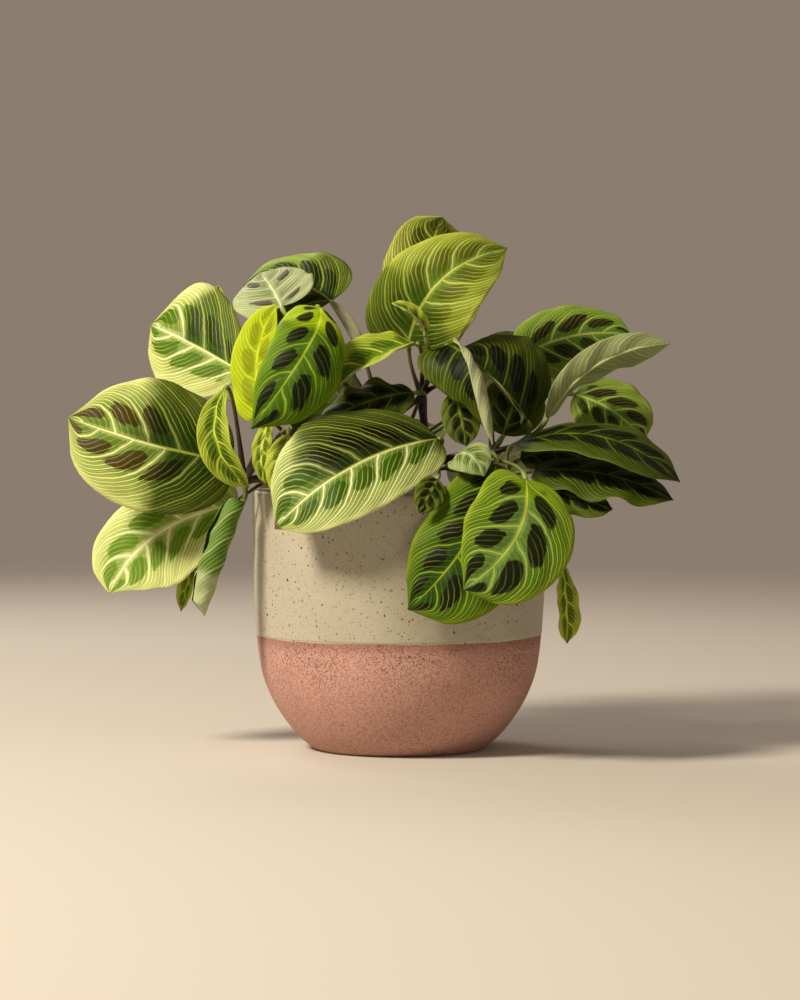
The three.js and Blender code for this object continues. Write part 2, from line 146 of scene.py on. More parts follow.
FLUTTER_LENGTH = 80  # a shorter blade has smaller waves
MARGIN_THINNING = 0.7
KEEL_HEIGHT = 0.75  # how far the midrib stands out of the underside
KEEL_WIDTH = 0.035
KEEL_TAPER = 0.8  # how much of it is gone at the tip
VEIN_SPACING = 20  # between two main veins, along the midrib
VEIN_SWEEP = 0.6  # how strongly the veins sweep forward to the margin
FINE_VEINS = 5  # fine veins to each main vein
RIGHT_OFFSET = 0.45  # the right half's veins leave the midrib between the left half's
RIGHT_BLOTCHES = 57  # these two keep the right half's luck apart from the left half's
RIGHT_TEARS = 91
FACE_SPECULAR = 0.1
BACK_SPECULAR = 0.2

# ---- the stage ----
SENSOR_WIDTH = 36
FLOOR_SEGMENTS = 96
FLOOR_FADE = (0.3, 0.95)  # the shares of its radius between which the floor fades out
LIGHT_AIM = Vector((0, 0, 0.16))
LIGHTS = (
    # name, place, size and colour
    ("key", (-1.2, -1.0, 1.45), 0.45, (1.0, 0.92, 0.76)),
    ("fill", (1.7, -1.5, 0.9), 1.8, (0.95, 1.0, 0.88)),
    ("back", (-0.9, 1.4, 1.3), 0.9, (1.0, 0.97, 0.9)),
)


@dataclass
class Leaf:
    """A blade: where its midrib runs, which way it looks, and how its halves fold and curl.

    shoot is the stem that it grows from, tone its material slot and finish its colouring. face is
    where the upper side looks at mid-length, rib the base, middle and tip. half is the half-width,
    widest where along the blade that is reached. fold and curl are degrees, up positive. lobe is how
    far the margin reaches back past the base, wave the height of its ripple, twist the turn from base
    to tip, reach how far the petiole follows the midrib's line. A pair is left, right. fullness is 1
    for the usual oval, and less for a blade rolled into a tube. sheath is the half-width of the pale
    sheath round its petiole.
    """

    name: str
    shoot: str
    tone: str
    finish: str
    face: tuple
    rib: tuple
    half: object
    widest: object = 0.5
    fold: object = 8
    curl: object = -20
    lobe: object = 0
    wave: float = 0
    twist: float = 0
    reach: float = 0.45
    fullness: float = 1
    sheath: float = 0

    @property
    def node(self):
        return "leaf_" + self.name

    @property
    def length(self):
        base, middle, tip = (Vector(place) for place in self.rib)
        return (middle - base).length + (tip - middle).length

    @property
    def veins(self):
        return max(4, round(self.length / VEIN_SPACING))

    @property
    def seed(self):
        return sum(ord(letter) for letter in self.node)


LEAVES = (
    # name, shoot, tone, finish, face and rib, then what differs from the usual
    Leaf("left_broad", "left_front", "sage", "olive_blotched", (-0.15, -1, 0.3),
         ((-95, -28, 167), (-141, -42, 177), (-188, -32, 192)), half=39, fold=10, curl=-26, lobe=8),
    Leaf("left_low", "left_front", "sage", "cream_broad", (-0.2, -0.9, 0.45),
         ((-92, -28, 143), (-140, -13, 124), (-166, -22, 91)), half=(34, 31), widest=(0.55, 0.5), lobe=6),
    Leaf("left_hanging", "left_front", "bright", "fresh", (-0.35, -1, 0.1),
         ((-98, -52, 208), (-102, -62, 179), (-84, -55, 153)), half=11, widest=0.6, fold=28, curl=-10,
         lobe=4, reach=0.2),
    Leaf("left_upper", "left_back", "sage", "dark_shouldered", (-0.45, -0.85, 0.35),
         ((-92, -12, 219), (-119, 8, 234), (-146, 30, 246)), half=(31, 37), widest=(0.5, 0.68), fold=12,
         curl=-28, lobe=(6, 18)),
    Leaf("left_bud", "left_back", "lime", "fresh", (0, -1, 0.2),
         ((-104, 44, 240), (-107, 46, 255), (-107, 44, 270)), half=9, fold=30, curl=30),
    Leaf("top_pale", "centre_left", "sage", "frosted", (-0.35, -0.42, 0.85),
         ((-67, -24, 255), (-74, 5, 267), (-82, 35, 277)), half=25, curl=-25, lobe=8),
    Leaf("top_dark", "centre_left", "dark", "pale_shouldered", (0, -0.8, 0.6),
         ((-40, 22, 260), (-64, 42, 272), (-93, 56, 270)), half=(31, 33), fold=5, curl=-30, lobe=4,
         sheath=3.6),
    Leaf("lime", "left_front", "lime", "glowing", (-0.5, -0.85, 0.1),
         ((-78, -37, 194), (-80, -34, 228), (-69, -39, 256)), half=(17, 13), widest=0.32, fold=15, lobe=6),
    Leaf("spotted", "centre_left", "bright", "ink_spotted", (0, -0.9, 0.45),
         ((-46, -26, 255), (-49, -69, 234), (-82, -72, 186)), half=(29, 22), widest=(0.72, 0.5), fold=10,
         curl=(-80, -30), lobe=5),
    Leaf("centre_long", "crown", "bright", "fresh", (-0.35, -0.5, 0.8),
         ((10, -24, 234), (-14, -36, 225), (-40, -46, 206)), half=19, fold=35, reach=0.15),
    Leaf("crown_back", "crown", "bright", "striped", (-0.1, -0.95, 0.15),
         ((19, 14, 236), (18, 30, 279), (25, 16, 309)), half=29, widest=0.42, fold=6, curl=-28),
    Leaf("crown_front", "crown", "lime", "crown", (0.1, -0.9, 0.45),
         ((6, -10, 236), (24, -32, 270), (62, -14, 289)), half=(32, 31), widest=(0.2, 0.3), fold=14,
         curl=-24, lobe=(24, 6)),
    Leaf("crown_small", "crown", "bright", "fresh", (0.2, -0.8, 0.5),
         ((15, -46, 238), (8, -54, 249), (-4, -54, 256)), half=6, fold=55, curl=0),
    Leaf("crown_rolled", "crown", "dark", "deep", (-0.45, -0.75, 0.5),
         ((28, -36, 233), (45, -64, 217), (52, -76, 177)), half=(11, 26), widest=(0.5, 0.25), fold=(60, -5),
         curl=(100, -30), lobe=(0, 7), twist=70, reach=0.1),
    Leaf("right_inner", "right", "dark", "deep", (0.3, -0.9, 0.35),
         ((73, -30, 190), (54, -40, 213), (32, -34, 230)), half=(16, 40), widest=(0.5, 0.42), fold=(55, 5),
         curl=(10, -25), lobe=(3, 8)),
    Leaf("right_upper", "right", "dark", "brown_spotted", (0.1, -0.75, 0.65),
         ((74, 14, 229), (105, 24, 240), (137, 28, 240)), half=(27, 32), fold=6, curl=-25, lobe=12),
    Leaf("right_twisted", "right", "sage", "green_banded", (-0.3, 0.75, 0.6),
         ((85, -26, 192), (113, -36, 222), (154, -32, 234)), half=(19, 12), fold=15, curl=20, twist=-50),
    Leaf("right_middle", "right", "bright", "brown_spotted", (0.25, -0.8, 0.55),
         ((102, 0, 205), (124, -8, 195), (141, -12, 178)), half=(26, 23), fold=5, lobe=3),
    Leaf("right_long", "right_front", "dark", "deep", (0.15, -0.35, 0.93),
         ((66, -40, 177), (114, -56, 181), (157, -64, 156)), half=(28, 32), widest=0.52, lobe=4),
    Leaf("right_low", "right_front", "dark", "deep", (0.1, -0.45, 0.88),
         ((77, -46, 162), (116, -60, 160), (153, -66, 146)), half=(26, 24), fold=5, curl=-25, wave=2,
         lobe=8),
    Leaf("right_under", "right_front", "dark", "deep", (0, -0.6, 0.8),
         ((81, -54, 153), (100, -66, 147), (119, -70, 141)), half=13, fold=0),
    Leaf("front_low", "front", "dark", "green_banded", (-0.1, -0.95, 0.3),
         ((54, -72, 166), (37, -98, 124), (5, -96, 87)), half=(36, 28), widest=(0.58, 0.5), curl=-25,
         lobe=6),
    Leaf("front_spotted", "front", "bright", "black_spotted", (0.1, -0.95, 0.3),
         ((70, -84, 158), (63, -118, 127), (35, -114, 99)), half=(32, 30), curl=-25, lobe=(8, 32)),
    Leaf("right_dropping", "right_front", "bright", "fresh", (0.4, -0.9, 0),
         ((91, -66, 112), (93, -70, 90), (94, -66, 66)), half=8, widest=0.68, fold=20, curl=10, wave=1),
    Leaf("front_broad", "front", "bright", "dry_tipped", (-0.15, -0.85, 0.5),
         ((22, -54, 180), (-26, -89, 165), (-68, -91, 131)), half=(31, 40), fold=10, curl=-25, lobe=5),
    Leaf("front_small", "front", "sage", "dulled", (-0.1, -0.8, 0.6),
         ((29, -68, 167), (38, -83, 172), (47, -89, 160)), half=(13, 12), fold=5, curl=-35),
    Leaf("left_inner", "left_front", "bright", "fresh", (-0.1, -1, 0.1),
         ((-62, -58, 182), (-65, -66, 166), (-68, -64, 148)), half=10, fold=10, curl=-30),
    Leaf("left_narrow", "left_front", "bright", "fresh", (-0.1, -1, 0.1),
         ((-73, -50, 190), (-77, -59, 173), (-75, -58, 155)), half=5.5, fold=12, curl=-25),
    Leaf("left_rolled", "left_front", "sage", "furled", (-0.9, -0.4, 0.1),
         ((-88, -42, 144), (-99, -47, 112), (-110, -46, 80)), half=19, fold=0, curl=165, fullness=0.3),
    Leaf("centre_wavy", "crown", "dark", "deep", (-0.1, -0.7, 0.7),
         ((8, -29, 206), (-17, -38, 201), (-46, -42, 188)), half=17, fold=10, curl=-30, wave=3),
    Leaf("front_shaded", "front", "dark", "deep", (0.2, -1, 0.2),
         ((21, -82, 158), (17, -93, 151), (11, -97, 140)), half=(9, 8), fold=10),
    Leaf("left_tip", "left_back", "lime", "fresh", (-0.2, -1, 0),
         ((-117, -2, 112), (-122, -5, 97), (-126, -8, 80)), half=6, fold=30, curl=0),
    Leaf("inner_shaded", "crown", "dark", "deep", (0, -1, 0.3),
         ((32, -34, 206), (35, -44, 192), (38, -48, 176)), half=11, fold=10),
    Leaf("right_shaded", "right", "dark", "deep", (-0.1, -0.95, 0.2),
         ((60, -10, 182), (66, -4, 199), (72, 2, 216)), half=19),
    Leaf("right_deep", "right_front", "dark", "deep", (0, -0.8, 0.6),
         ((70, -20, 168), (94, -26, 172), (120, -30, 160)), half=17),
    Leaf("left_shaded", "crown", "dark", "deep", (-0.1, -0.9, 0.4),
         ((-20, -16, 188), (-40, -24, 184), (-62, -28, 168)), half=19, lobe=4),
    Leaf("back_centre", "back", "sage", "cream_veined", (0, 0.7, 0.7),
         ((8, 74, 176), (6, 98, 190), (0, 118, 184)), half=24, lobe=4),
    Leaf("back_lower_left", "back", "bright", "fresh", (-0.4, 0.85, 0.4),
         ((-34, 66, 168), (-58, 88, 162), (-80, 96, 130)), half=24, curl=-22, lobe=5),
    Leaf("back_lower_right", "back", "dark", "brown_spotted", (0.3, 0.7, 0.65),
         ((58, 58, 164), (82, 74, 172), (104, 76, 160)), half=20, lobe=4),
    Leaf("back_upper_right", "back", "sage", "cream_veined", (0.2, 0.9, 0.35),
         ((42, 52, 200), (62, 66, 222), (80, 66, 238)), half=20, lobe=5),
    Leaf("back_upper_left", "back", "dark", "green_banded", (-0.2, 0.9, 0.3),
         ((-30, 54, 198), (-48, 70, 222), (-60, 70, 246)), half=18, lobe=4),
    Leaf("back_tall", "back", "bright", "black_spotted", (0.1, 0.9, 0.4),
         ((22, 66, 240), (26, 86, 268), (32, 92, 298)), half=25, lobe=6),
    Leaf("back_left", "back", "sage", "cream_veined", (-0.2, 0.8, 0.6),
         ((-70, 60, 205), (-104, 80, 226), (-136, 84, 232)), half=27, lobe=6),
    Leaf("back_right", "back", "bright", "brown_spotted", (0.2, 0.8, 0.6),
         ((58, 76, 212), (90, 92, 230), (122, 94, 234)), half=25, lobe=6),
    Leaf("back_low", "back", "bright", "black_spotted", (-0.1, 0.95, 0.35),
         ((-6, 92, 168), (-24, 116, 150), (-36, 122, 108)), half=27, curl=-22, lobe=6),
    Leaf("back_drooping", "back", "sage", "cream_veined", (0.4, 0.9, 0.3),
         ((36, 84, 166), (58, 102, 150), (72, 106, 112)), half=24, curl=-22, lobe=6),
)


def linear(code):
    """An sRGB colour such as #8FAE5F as linear red, green, blue and alpha."""
    steps = [int(code[i : i + 2], 16) / 255 for i in (1, 3, 5)]
    return (*(s / 12.92 if s <= 0.04045 else ((s + 0.055) / 1.055) ** 2.4 for s in steps), 1.0)


@dataclass
class Finish:
    """A blade's colouring, from the midrib outwards, with the marks between its veins.

    feather is how much of the pale colour spreads from the veins. blotch_luck is the share of the
    spaces between main veins that have a blotch. A blotch is centred at blotch_middle between midrib
    and margin, reaches blotch_extent either way and fills blotch_width of the space between two
    veins. base, base_line and base_blotch colour the part before base_end, from 0 at the base to 1 at
    the tip; a pair is left, right. dry colours a withered tip, glow the light through the blade, and
    through is how much of it passes.
    """

    inner: str
    outer: str
    margin: str
    pale: str
    vein: str
    blotch: str
    blotch_line: str = "#8C8438"
    blotch_share: float = 1.0
    blotch_luck: float = 1.0
    blotch_middle: float = 0.36
    blotch_extent: float = 0.22
    blotch_width: float = 0.8
    feather: float = 0.75
    base: str = "#24380A"
    base_line: str = "#8E9A30"
    base_blotch: str = "#0E1403"
    base_end: object = 0.0
    dry: str = ""
    under: str = "#A3A87C"
    under_base: str = ""
    glow: str = "#94B800"
    through: float = 0.24


CREAM_VEINED = Finish(
    inner="#7A9230", outer="#BAC460", margin="#E0E290", pale="#C2CC8C", vein="#FCF9BE", blotch="#4A6E06",
    blotch_line="#BCC048",
)
GREEN_BANDED = Finish(
    inner="#203E06", outer="#385808", margin="#70880E", pale="#365410", vein="#889A24", blotch="#0A1102",
    feather=0.4, under="#929E66", through=0.14,
)
BLACK_SPOTTED = Finish(
    inner="#46661E", outer="#426608", margin="#889F0C", pale="#5C7A28", vein="#ACBC40", blotch="#0D0B04",
    blotch_line="#4A4420", base="#6C8A0A", base_line="#B4C440", base_end=0.16, blotch_middle=0.4,
    blotch_extent=0.24, through=0.17,
)
FINISHES = {
    "cream_veined": CREAM_VEINED,
    "cream_broad": replace(
        CREAM_VEINED, inner="#8CA43C", outer="#B6C262", pale="#CCD492", blotch="#5C8210", feather=0.9,
    ),
    "dark_shouldered": replace(
        CREAM_VEINED, base="#2A4406", base_line="#AEB850", base_blotch="#1A2C03", base_end=(0.0, 0.66),
    ),
    "dry_tipped": replace(
        CREAM_VEINED, inner="#567220", outer="#7C9236", margin="#C4CC7C", pale="#9CAA66",
        vein="#F2EEB0", blotch="#2E5004", base="#0B1302", base_line="#8E9C34",
        base_blotch="#050701", base_end=(0.1, 0.66), dry="#6E4A36", through=0.14,
    ),
    "olive_blotched": replace(
        CREAM_VEINED, inner="#5E7A20", outer="#8CA040", pale="#A0AE62", vein="#F0ECA0", blotch="#3E2E0A",
        blotch_line="#98843A", blotch_luck=0.72, base="#1A2C03", base_line="#98A43A",
        base_end=(0.46, 0.62), through=0.18,
    ),
    "frosted": replace(
        CREAM_VEINED, inner="#788650", outer="#8E9A66", margin="#ACB47E", pale="#949E6E", vein="#CED2A0",
        blotch="#3A2824", blotch_line="#5A4A44", blotch_middle=0.42, blotch_extent=0.24, blotch_width=0.55,
        blotch_luck=0.75,
    ),
    "crown": replace(
        CREAM_VEINED, inner="#567012", outer="#788C26", margin="#AEB63C", pale="#84964C", vein="#D2D45C",
        blotch="#54481A", blotch_share=0.55, base="#3A520C", base_line="#A8B048",
        base_blotch="#2A3A0A", base_end=(0.42, 0.3),
    ),
    "striped": replace(
        CREAM_VEINED, inner="#566010", outer="#687418", margin="#A0A430", pale="#768026", vein="#E0E078",
        blotch="#383C0A", blotch_share=0.8, feather=0.5,
    ),
    "glowing": Finish(
        inner="#9CB404", outer="#A8BE06", margin="#C0D018", pale="#B0C414", vein="#D6E040", blotch="#847E14",
        blotch_share=0.6, feather=0.4, under="#B4C83A", glow="#C8E800",
    ),
    "fresh": Finish(
        inner="#56780A", outer="#769018", margin="#A8B830", pale="#7C922C", vein="#D2D856", blotch="#304E06",
        blotch_share=0.7, feather=0.4,
    ),
    "black_spotted": replace(BLACK_SPOTTED, inner="#54722E", pale="#76924C", feather=0.85),
    "ink_spotted": replace(
        BLACK_SPOTTED, inner="#3C5A08", outer="#466A06", margin="#7C960C", pale="#4E6C16", vein="#8CA626",
        blotch="#090803", base="#9CBA06", base_line="#C4D23C", base_end=0.38, blotch_width=0.72,
        feather=0.4,
    ),
    "brown_spotted": Finish(
        inner="#3E5C18", outer="#4E701A", margin="#7E962A", pale="#5C7830", vein="#9EAC4C", blotch="#1C1408",
        blotch_line="#5E5028", through=0.15,
    ),
    "green_banded": GREEN_BANDED,
    "pale_shouldered": replace(
        GREEN_BANDED, outer="#809C3E", margin="#B0BC6C", pale="#6C883A", blotch="#101E04",
        base="#162A03", base_blotch="#0C1802", base_end=0.5,
    ),
    "furled": replace(GREEN_BANDED, under="#BCC894", under_base="#52780E"),
    "dulled": replace(
        CREAM_VEINED, inner="#56703A", outer="#74884E", margin="#8C9C5E", pale="#7E8E5E", vein="#B4C080",
        blotch="#3A5420", blotch_share=0.7,
    ),
    "deep": Finish(
        inner="#182603", outer="#2A3905", margin="#4A5C0E", pale="#2A3A0D", vein="#626D1D", blotch="#070902",
        blotch_line="#28300E", feather=0.35, through=0.08,
    ),
}


# ---- shading ----
# The scale of a noise or of specks is per metre, so 1000 gives about one to a millimetre.
class Field:
    """A number or colour that varies over a surface: a shader socket that takes part in plain arithmetic."""

    def __init__(self, shading, socket):
        self.shading = shading
        self.socket = socket

    def __add__(self, other):
        return self.shading.maths("ADD", self, other)

    def __sub__(self, other):
        return self.shading.maths("SUBTRACT", self, other)

    def __rsub__(self, other):
        return self.shading.maths("SUBTRACT", other, self)

    def __mul__(self, other):
        return self.shading.maths("MULTIPLY", self, other)

    def __truediv__(self, other):
        return self.shading.maths("DIVIDE", self, other)

    def __pow__(self, other):
        return self.shading.maths("POWER", self, other)

    def __gt__(self, other):
        return self.shading.maths("GREATER_THAN", self, other)

    def __abs__(self):
        return self.shading.maths("ABSOLUTE", self)

    __radd__ = __add__
    __rmul__ = __mul__


class Shading:
    """A material under construction."""

    def __init__(self, name):
        self.material = bpy.data.materials.new(name)
        self.material.use_nodes = True
        self.tree = self.material.node_tree
        self.tree.nodes.clear()

    def node(self, kind, settings=None, sockets=None, output=None):
        """Adds a node, sets it, feeds its sockets by identifier, and returns one output as a Field."""
        made = self.tree.nodes.new("ShaderNode" + kind)
        for name, value in (settings or {}).items():
            setattr(made, name, value)
        by_name = {socket.identifier: socket for socket in made.inputs}
        for name, value in (sockets or {}).items():
            if isinstance(value, Field):
                self.tree.links.new(value.socket, by_name[name])
            else:
                by_name[name].default_value = value
        if not made.outputs:
            return None
        named = {socket.identifier: socket for socket in made.outputs}
        return Field(self, named[output] if output else made.outputs[0])

    def maths(self, operation, *values):
        names = ("Value", "Value_001", "Value_002")
        return self.node("Math", {"operation": operation}, dict(zip(names, values)))

    def least(self, a, b):
        return self.maths("MINIMUM", a, b)

    def most(self, a, b):
        return self.maths("MAXIMUM", a, b)

    def whole(self, value):
        return self.maths("FLOOR", value)

    def rise(self, value, low, high):
        """Goes smoothly from 0 to 1 while value goes from low to high."""
        return self.node(
            "MapRange",
            {"interpolation_type": "SMOOTHSTEP"},
            {"Value": value, "From Min": low, "From Max": high, "To Min": 0.0, "To Max": 1.0},
        )

    def fall(self, value, low, high):
        return 1 - self.rise(value, low, high)

    def mix(self, a, b, share):
        """Colour a where share is 0, colour b where it is 1."""
        return self.node(
            "Mix",
            {"data_type": "RGBA"},
            {"Factor_Float": share, "A_Color": a, "B_Color": b},
            "Result_Color",
        )

    def layers(self, colour, *coats):
        """Lays coats over a colour: each has its own colour and the share of it that shows."""
        for coat, share in coats:
            colour = self.mix(colour, linear(coat), share)
        return colour

    def shade(self, colour, factor):
        """Multiplies a colour by a number."""
        return self.node(
            "VectorMath", {"operation": "SCALE"}, {"Vector": colour, "Scale": factor}, "Vector"
        )

    def place(self):
        """The place in the part's own frame, in metres."""
        return self.node("TexCoord", output="Object")

    def split(self, vector):
        return [self.node("SeparateXYZ", sockets={"Vector": vector}, output=axis) for axis in "XYZ"]

    def join(self, x, y, z):
        return self.node("CombineXYZ", sockets={"X": x, "Y": y, "Z": z})

    def noise(self, where, scale, detail=2.0, roughness=0.5):
        sockets = {"Vector": where, "Scale": scale, "Detail": detail, "Roughness": roughness}
        return self.node("TexNoise", sockets=sockets)

    def luck(self, number):
        """A random number from 0 to 1 for each whole number."""
        return self.node("TexWhiteNoise", {"noise_dimensions": "1D"}, {"W": number}, "Value")

    def bump(self, height, depth, strength=1.0):
        return self.node("Bump", sockets={"Height": height, "Distance": depth, "Strength": strength})

    def specks(self, where, scale, smallest, largest):
        """1 inside round specks scattered one to a cell; the sizes are shares of a cell."""
        sockets = {"Vector": where, "Scale": scale}
        distance = self.node("TexVoronoi", sockets=sockets, output="Distance")
        colour = self.node("TexVoronoi", sockets=sockets, output="Color")
        size = self.split(colour)[0]
        radius = smallest + (largest - smallest) * size ** 3
        return self.fall(distance, radius * 0.75, radius)

    def finish(self, colour, roughness, normal=None, glow=None, through=0.0, **uniform):
        """Closes the material; glow and through let light pass through a thin blade."""
        sockets = {"Base Color": colour, "Roughness": roughness, **uniform}
        if normal:
            sockets["Normal"] = normal
        surface = self.node("BsdfPrincipled", sockets=sockets, output="BSDF")
        if glow:
            passing = self.node("BsdfTranslucent", sockets={"Color": glow})
            both = {"Fac": through, "Shader": surface, "Shader_001": passing}
            surface = self.node("MixShader", sockets=both)
        self.node("OutputMaterial", sockets={"Surface": surface})
        return self.material


def glazed_clay(settings):
    """Cream speckled glaze above the line, bare pink clay below it."""
    s = Shading("two_tone_ceramic")
    where = s.place()
    height = s.split(where)[2]
    ripple = s.noise(where, 30, 1) * 0.0016
    glaze = s.rise(height + ripple, settings.glaze_line, settings.glaze_line + 0.0004)
    cloud = s.noise(where, 18, 3)
    dust = s.noise(where, 900, 2)
    marks = s.most(s.specks(where, 240, 0.02, 0.25), s.specks(where, 520, 0.05, 0.37))
    marks = s.most(marks, s.specks(where, 120, 0.01, 0.15))
    bold = s.rise(s.noise(where, 60, 2), 0.42, 0.55)
    cream = s.layers(
        (*settings.glaze, 1),
        ("#9C9478", s.rise(cloud, 0.35, 0.75) * 0.6),
        ("#8C7E62", s.rise(dust, 0.54, 0.7) * 0.5),
        ("#3C2C1E", marks * (0.45 + 0.5 * bold)),
    )
    grain = s.noise(where, 1050, 3, 0.75)
    coarse = s.noise(where, 800, 4, 0.8)
    patch = s.noise(where, 26, 2)
    below = settings.glaze_line - height
    dense = 0.4 + 0.55 * s.fall(below, 0.006, 0.036) * s.rise(patch, 0.35, 0.6)
    pink = s.layers(
        (*settings.clay, 1),
        ("#7A4A3E", s.rise(grain, 0.46, 0.64) * (0.35 + 0.6 * patch)),
        ("#4C352A", s.rise(coarse, 0.52, 0.6) * dense),
        ("#CE9880", s.rise(cloud, 0.5, 0.8) * 0.35),
        ("#7C4E40", s.fall(below, 0.001, 0.009) * 0.55),
    )
    roughness = 0.9 - 0.4 * glaze + 0.1 * dust * glaze
    relief = grain * (1 - glaze) + 0.25 * cloud * glaze - 0.35 * marks * glaze
    return s.finish(s.mix(pink, cream, glaze), roughness, s.bump(relief, 0.0004, 0.5))


def potting_mix():
    """Dark crumbs with lighter grains."""
    s = Shading("potting_mix")
    where = s.place()
    lumps = s.noise(where, 160, 4, 0.7)
    grain = s.noise(where, 900, 3, 0.7)
    colour = s.layers(
        linear("#1B120C"),
        ("#4A3423", s.rise(lumps, 0.35, 0.7)),
        ("#8A6B48", s.rise(grain, 0.62, 0.75) * 0.6),
    )
    return s.finish(colour, 0.95, s.bump(lumps + grain * 0.4, 0.0012, 0.9))


def bark():
    """Brown chips, some darker than others, with pale streaks."""
    s = Shading("bark_bits")
    where = s.place()
    streaks = s.noise(where, 700, 3, 0.6)
    tint = s.noise(where, 90, 1)
    colour = s.layers(
        linear("#2A1A10"),
        ("#6E4E30", s.rise(tint, 0.4, 0.62)),
        ("#A88A62", s.rise(streaks, 0.58, 0.7) * 0.5),
    )
    return s.finish(colour, 0.9, s.bump(streaks, 0.0006, 0.7))


def stem_skin():
    """Brown-purple, patchy and streaked lengthwise."""
    s = Shading("stem_skin")
    where = s.place()
    x, y, z = s.split(where)
    streaks = s.noise(s.join(x, y, z * 0.08), 1400, 2)
    patches = s.noise(where, 70, 3)
    colour = s.layers(
        linear("#2A1516"),
        ("#5A3A2E", s.rise(patches, 0.4, 0.7)),
        ("#7A6A44", s.rise(streaks, 0.55, 0.75) * 0.5),
    )
    return s.finish(colour, 0.5, s.bump(streaks, 0.0003, 0.5))


def petiole_skin():
    """Dark at the node, olive green towards the blade."""
    s = Shading("petiole_skin")
    along = s.split(s.node("UVMap", {"uv_map": BLADE_UV}))[1]
    where = s.place()
    patches = s.noise(where, 120, 3)
    fuzz = s.noise(where, 2600, 2)
    colour = s.layers(
        linear("#3A2618"),
        ("#5E6A22", s.rise(along + patches * 0.3, 0.25, 0.85)),
        ("#93A044", s.rise(along, 0.8, 0.98) * 0.7),
        ("#6A4A3A", s.rise(fuzz, 0.55, 0.75) * 0.3),
    )
    return s.finish(colour, 0.5, s.bump(fuzz, 0.0002, 0.5))


def sheath_skin():
    """The pale papery sheath that clasps a petiole."""
    s = Shading("sheath_skin")
    where = s.place()
    x, y, z = s.split(where)
    lines = s.noise(s.join(x, y, z * 0.25), 1500, 2)
    patches = s.noise(where, 90, 3)
    colour = s.layers(
        linear("#B4B08E"),
        ("#8A8A62", s.rise(lines, 0.45, 0.65) * 0.7),
        ("#7C8450", s.rise(patches, 0.5, 0.7) * 0.5),
    )
    relief = s.bump(lines, 0.0003, 0.6)
    return s.finish(colour, 0.55, relief, glow=linear("#B9AE8C"), through=0.25)


def vein_count(leaf, t, share, right):
    """Counts the main veins from the base. They leave the midrib steeply and sweep forward."""
    slope = VEIN_SWEEP * sum(pair(leaf.half)) / 2 / leaf.length
    return (t - slope * (share + share**3)) * leaf.veins + right * RIGHT_OFFSET


class Veins:
    """The blade's own coordinates, and how far each point is from its veins, in millimetres."""

    def __init__(self, s, leaf):
        across, self.t, _ = s.split(s.node("UVMap", {"uv_map": BLADE_UV}))
        u = across * 2 - 1
        self.share = abs(u)
        self.right = u > 0
        self.where = s.place()
        drift = (s.noise(self.where, 45, 2) - 0.5) * 0.4 + (s.noise(self.where, 260, 1) - 0.5) * 0.05
        self.count = vein_count(leaf, self.t, self.share, self.right) + drift
        # the veins run ever more slantwise, so they lie closer together than along the midrib
        spacing = (0.87 - 0.45 * self.share) * (leaf.length / leaf.veins)
        from_vein = s.maths("PINGPONG", self.count, 0.5)
        self.to_main = from_vein * spacing
        self.from_middle = 1 - 2 * from_vein
        self.to_fine = s.maths("PINGPONG", self.count * FINE_VEINS, 0.5) / FINE_VEINS * spacing
        self.to_hair = s.maths("PINGPONG", self.count * FINE_VEINS * 2, 0.5) / (FINE_VEINS * 2) * spacing
        self.to_midrib = self.share * (sum(pair(leaf.half)) / 2)


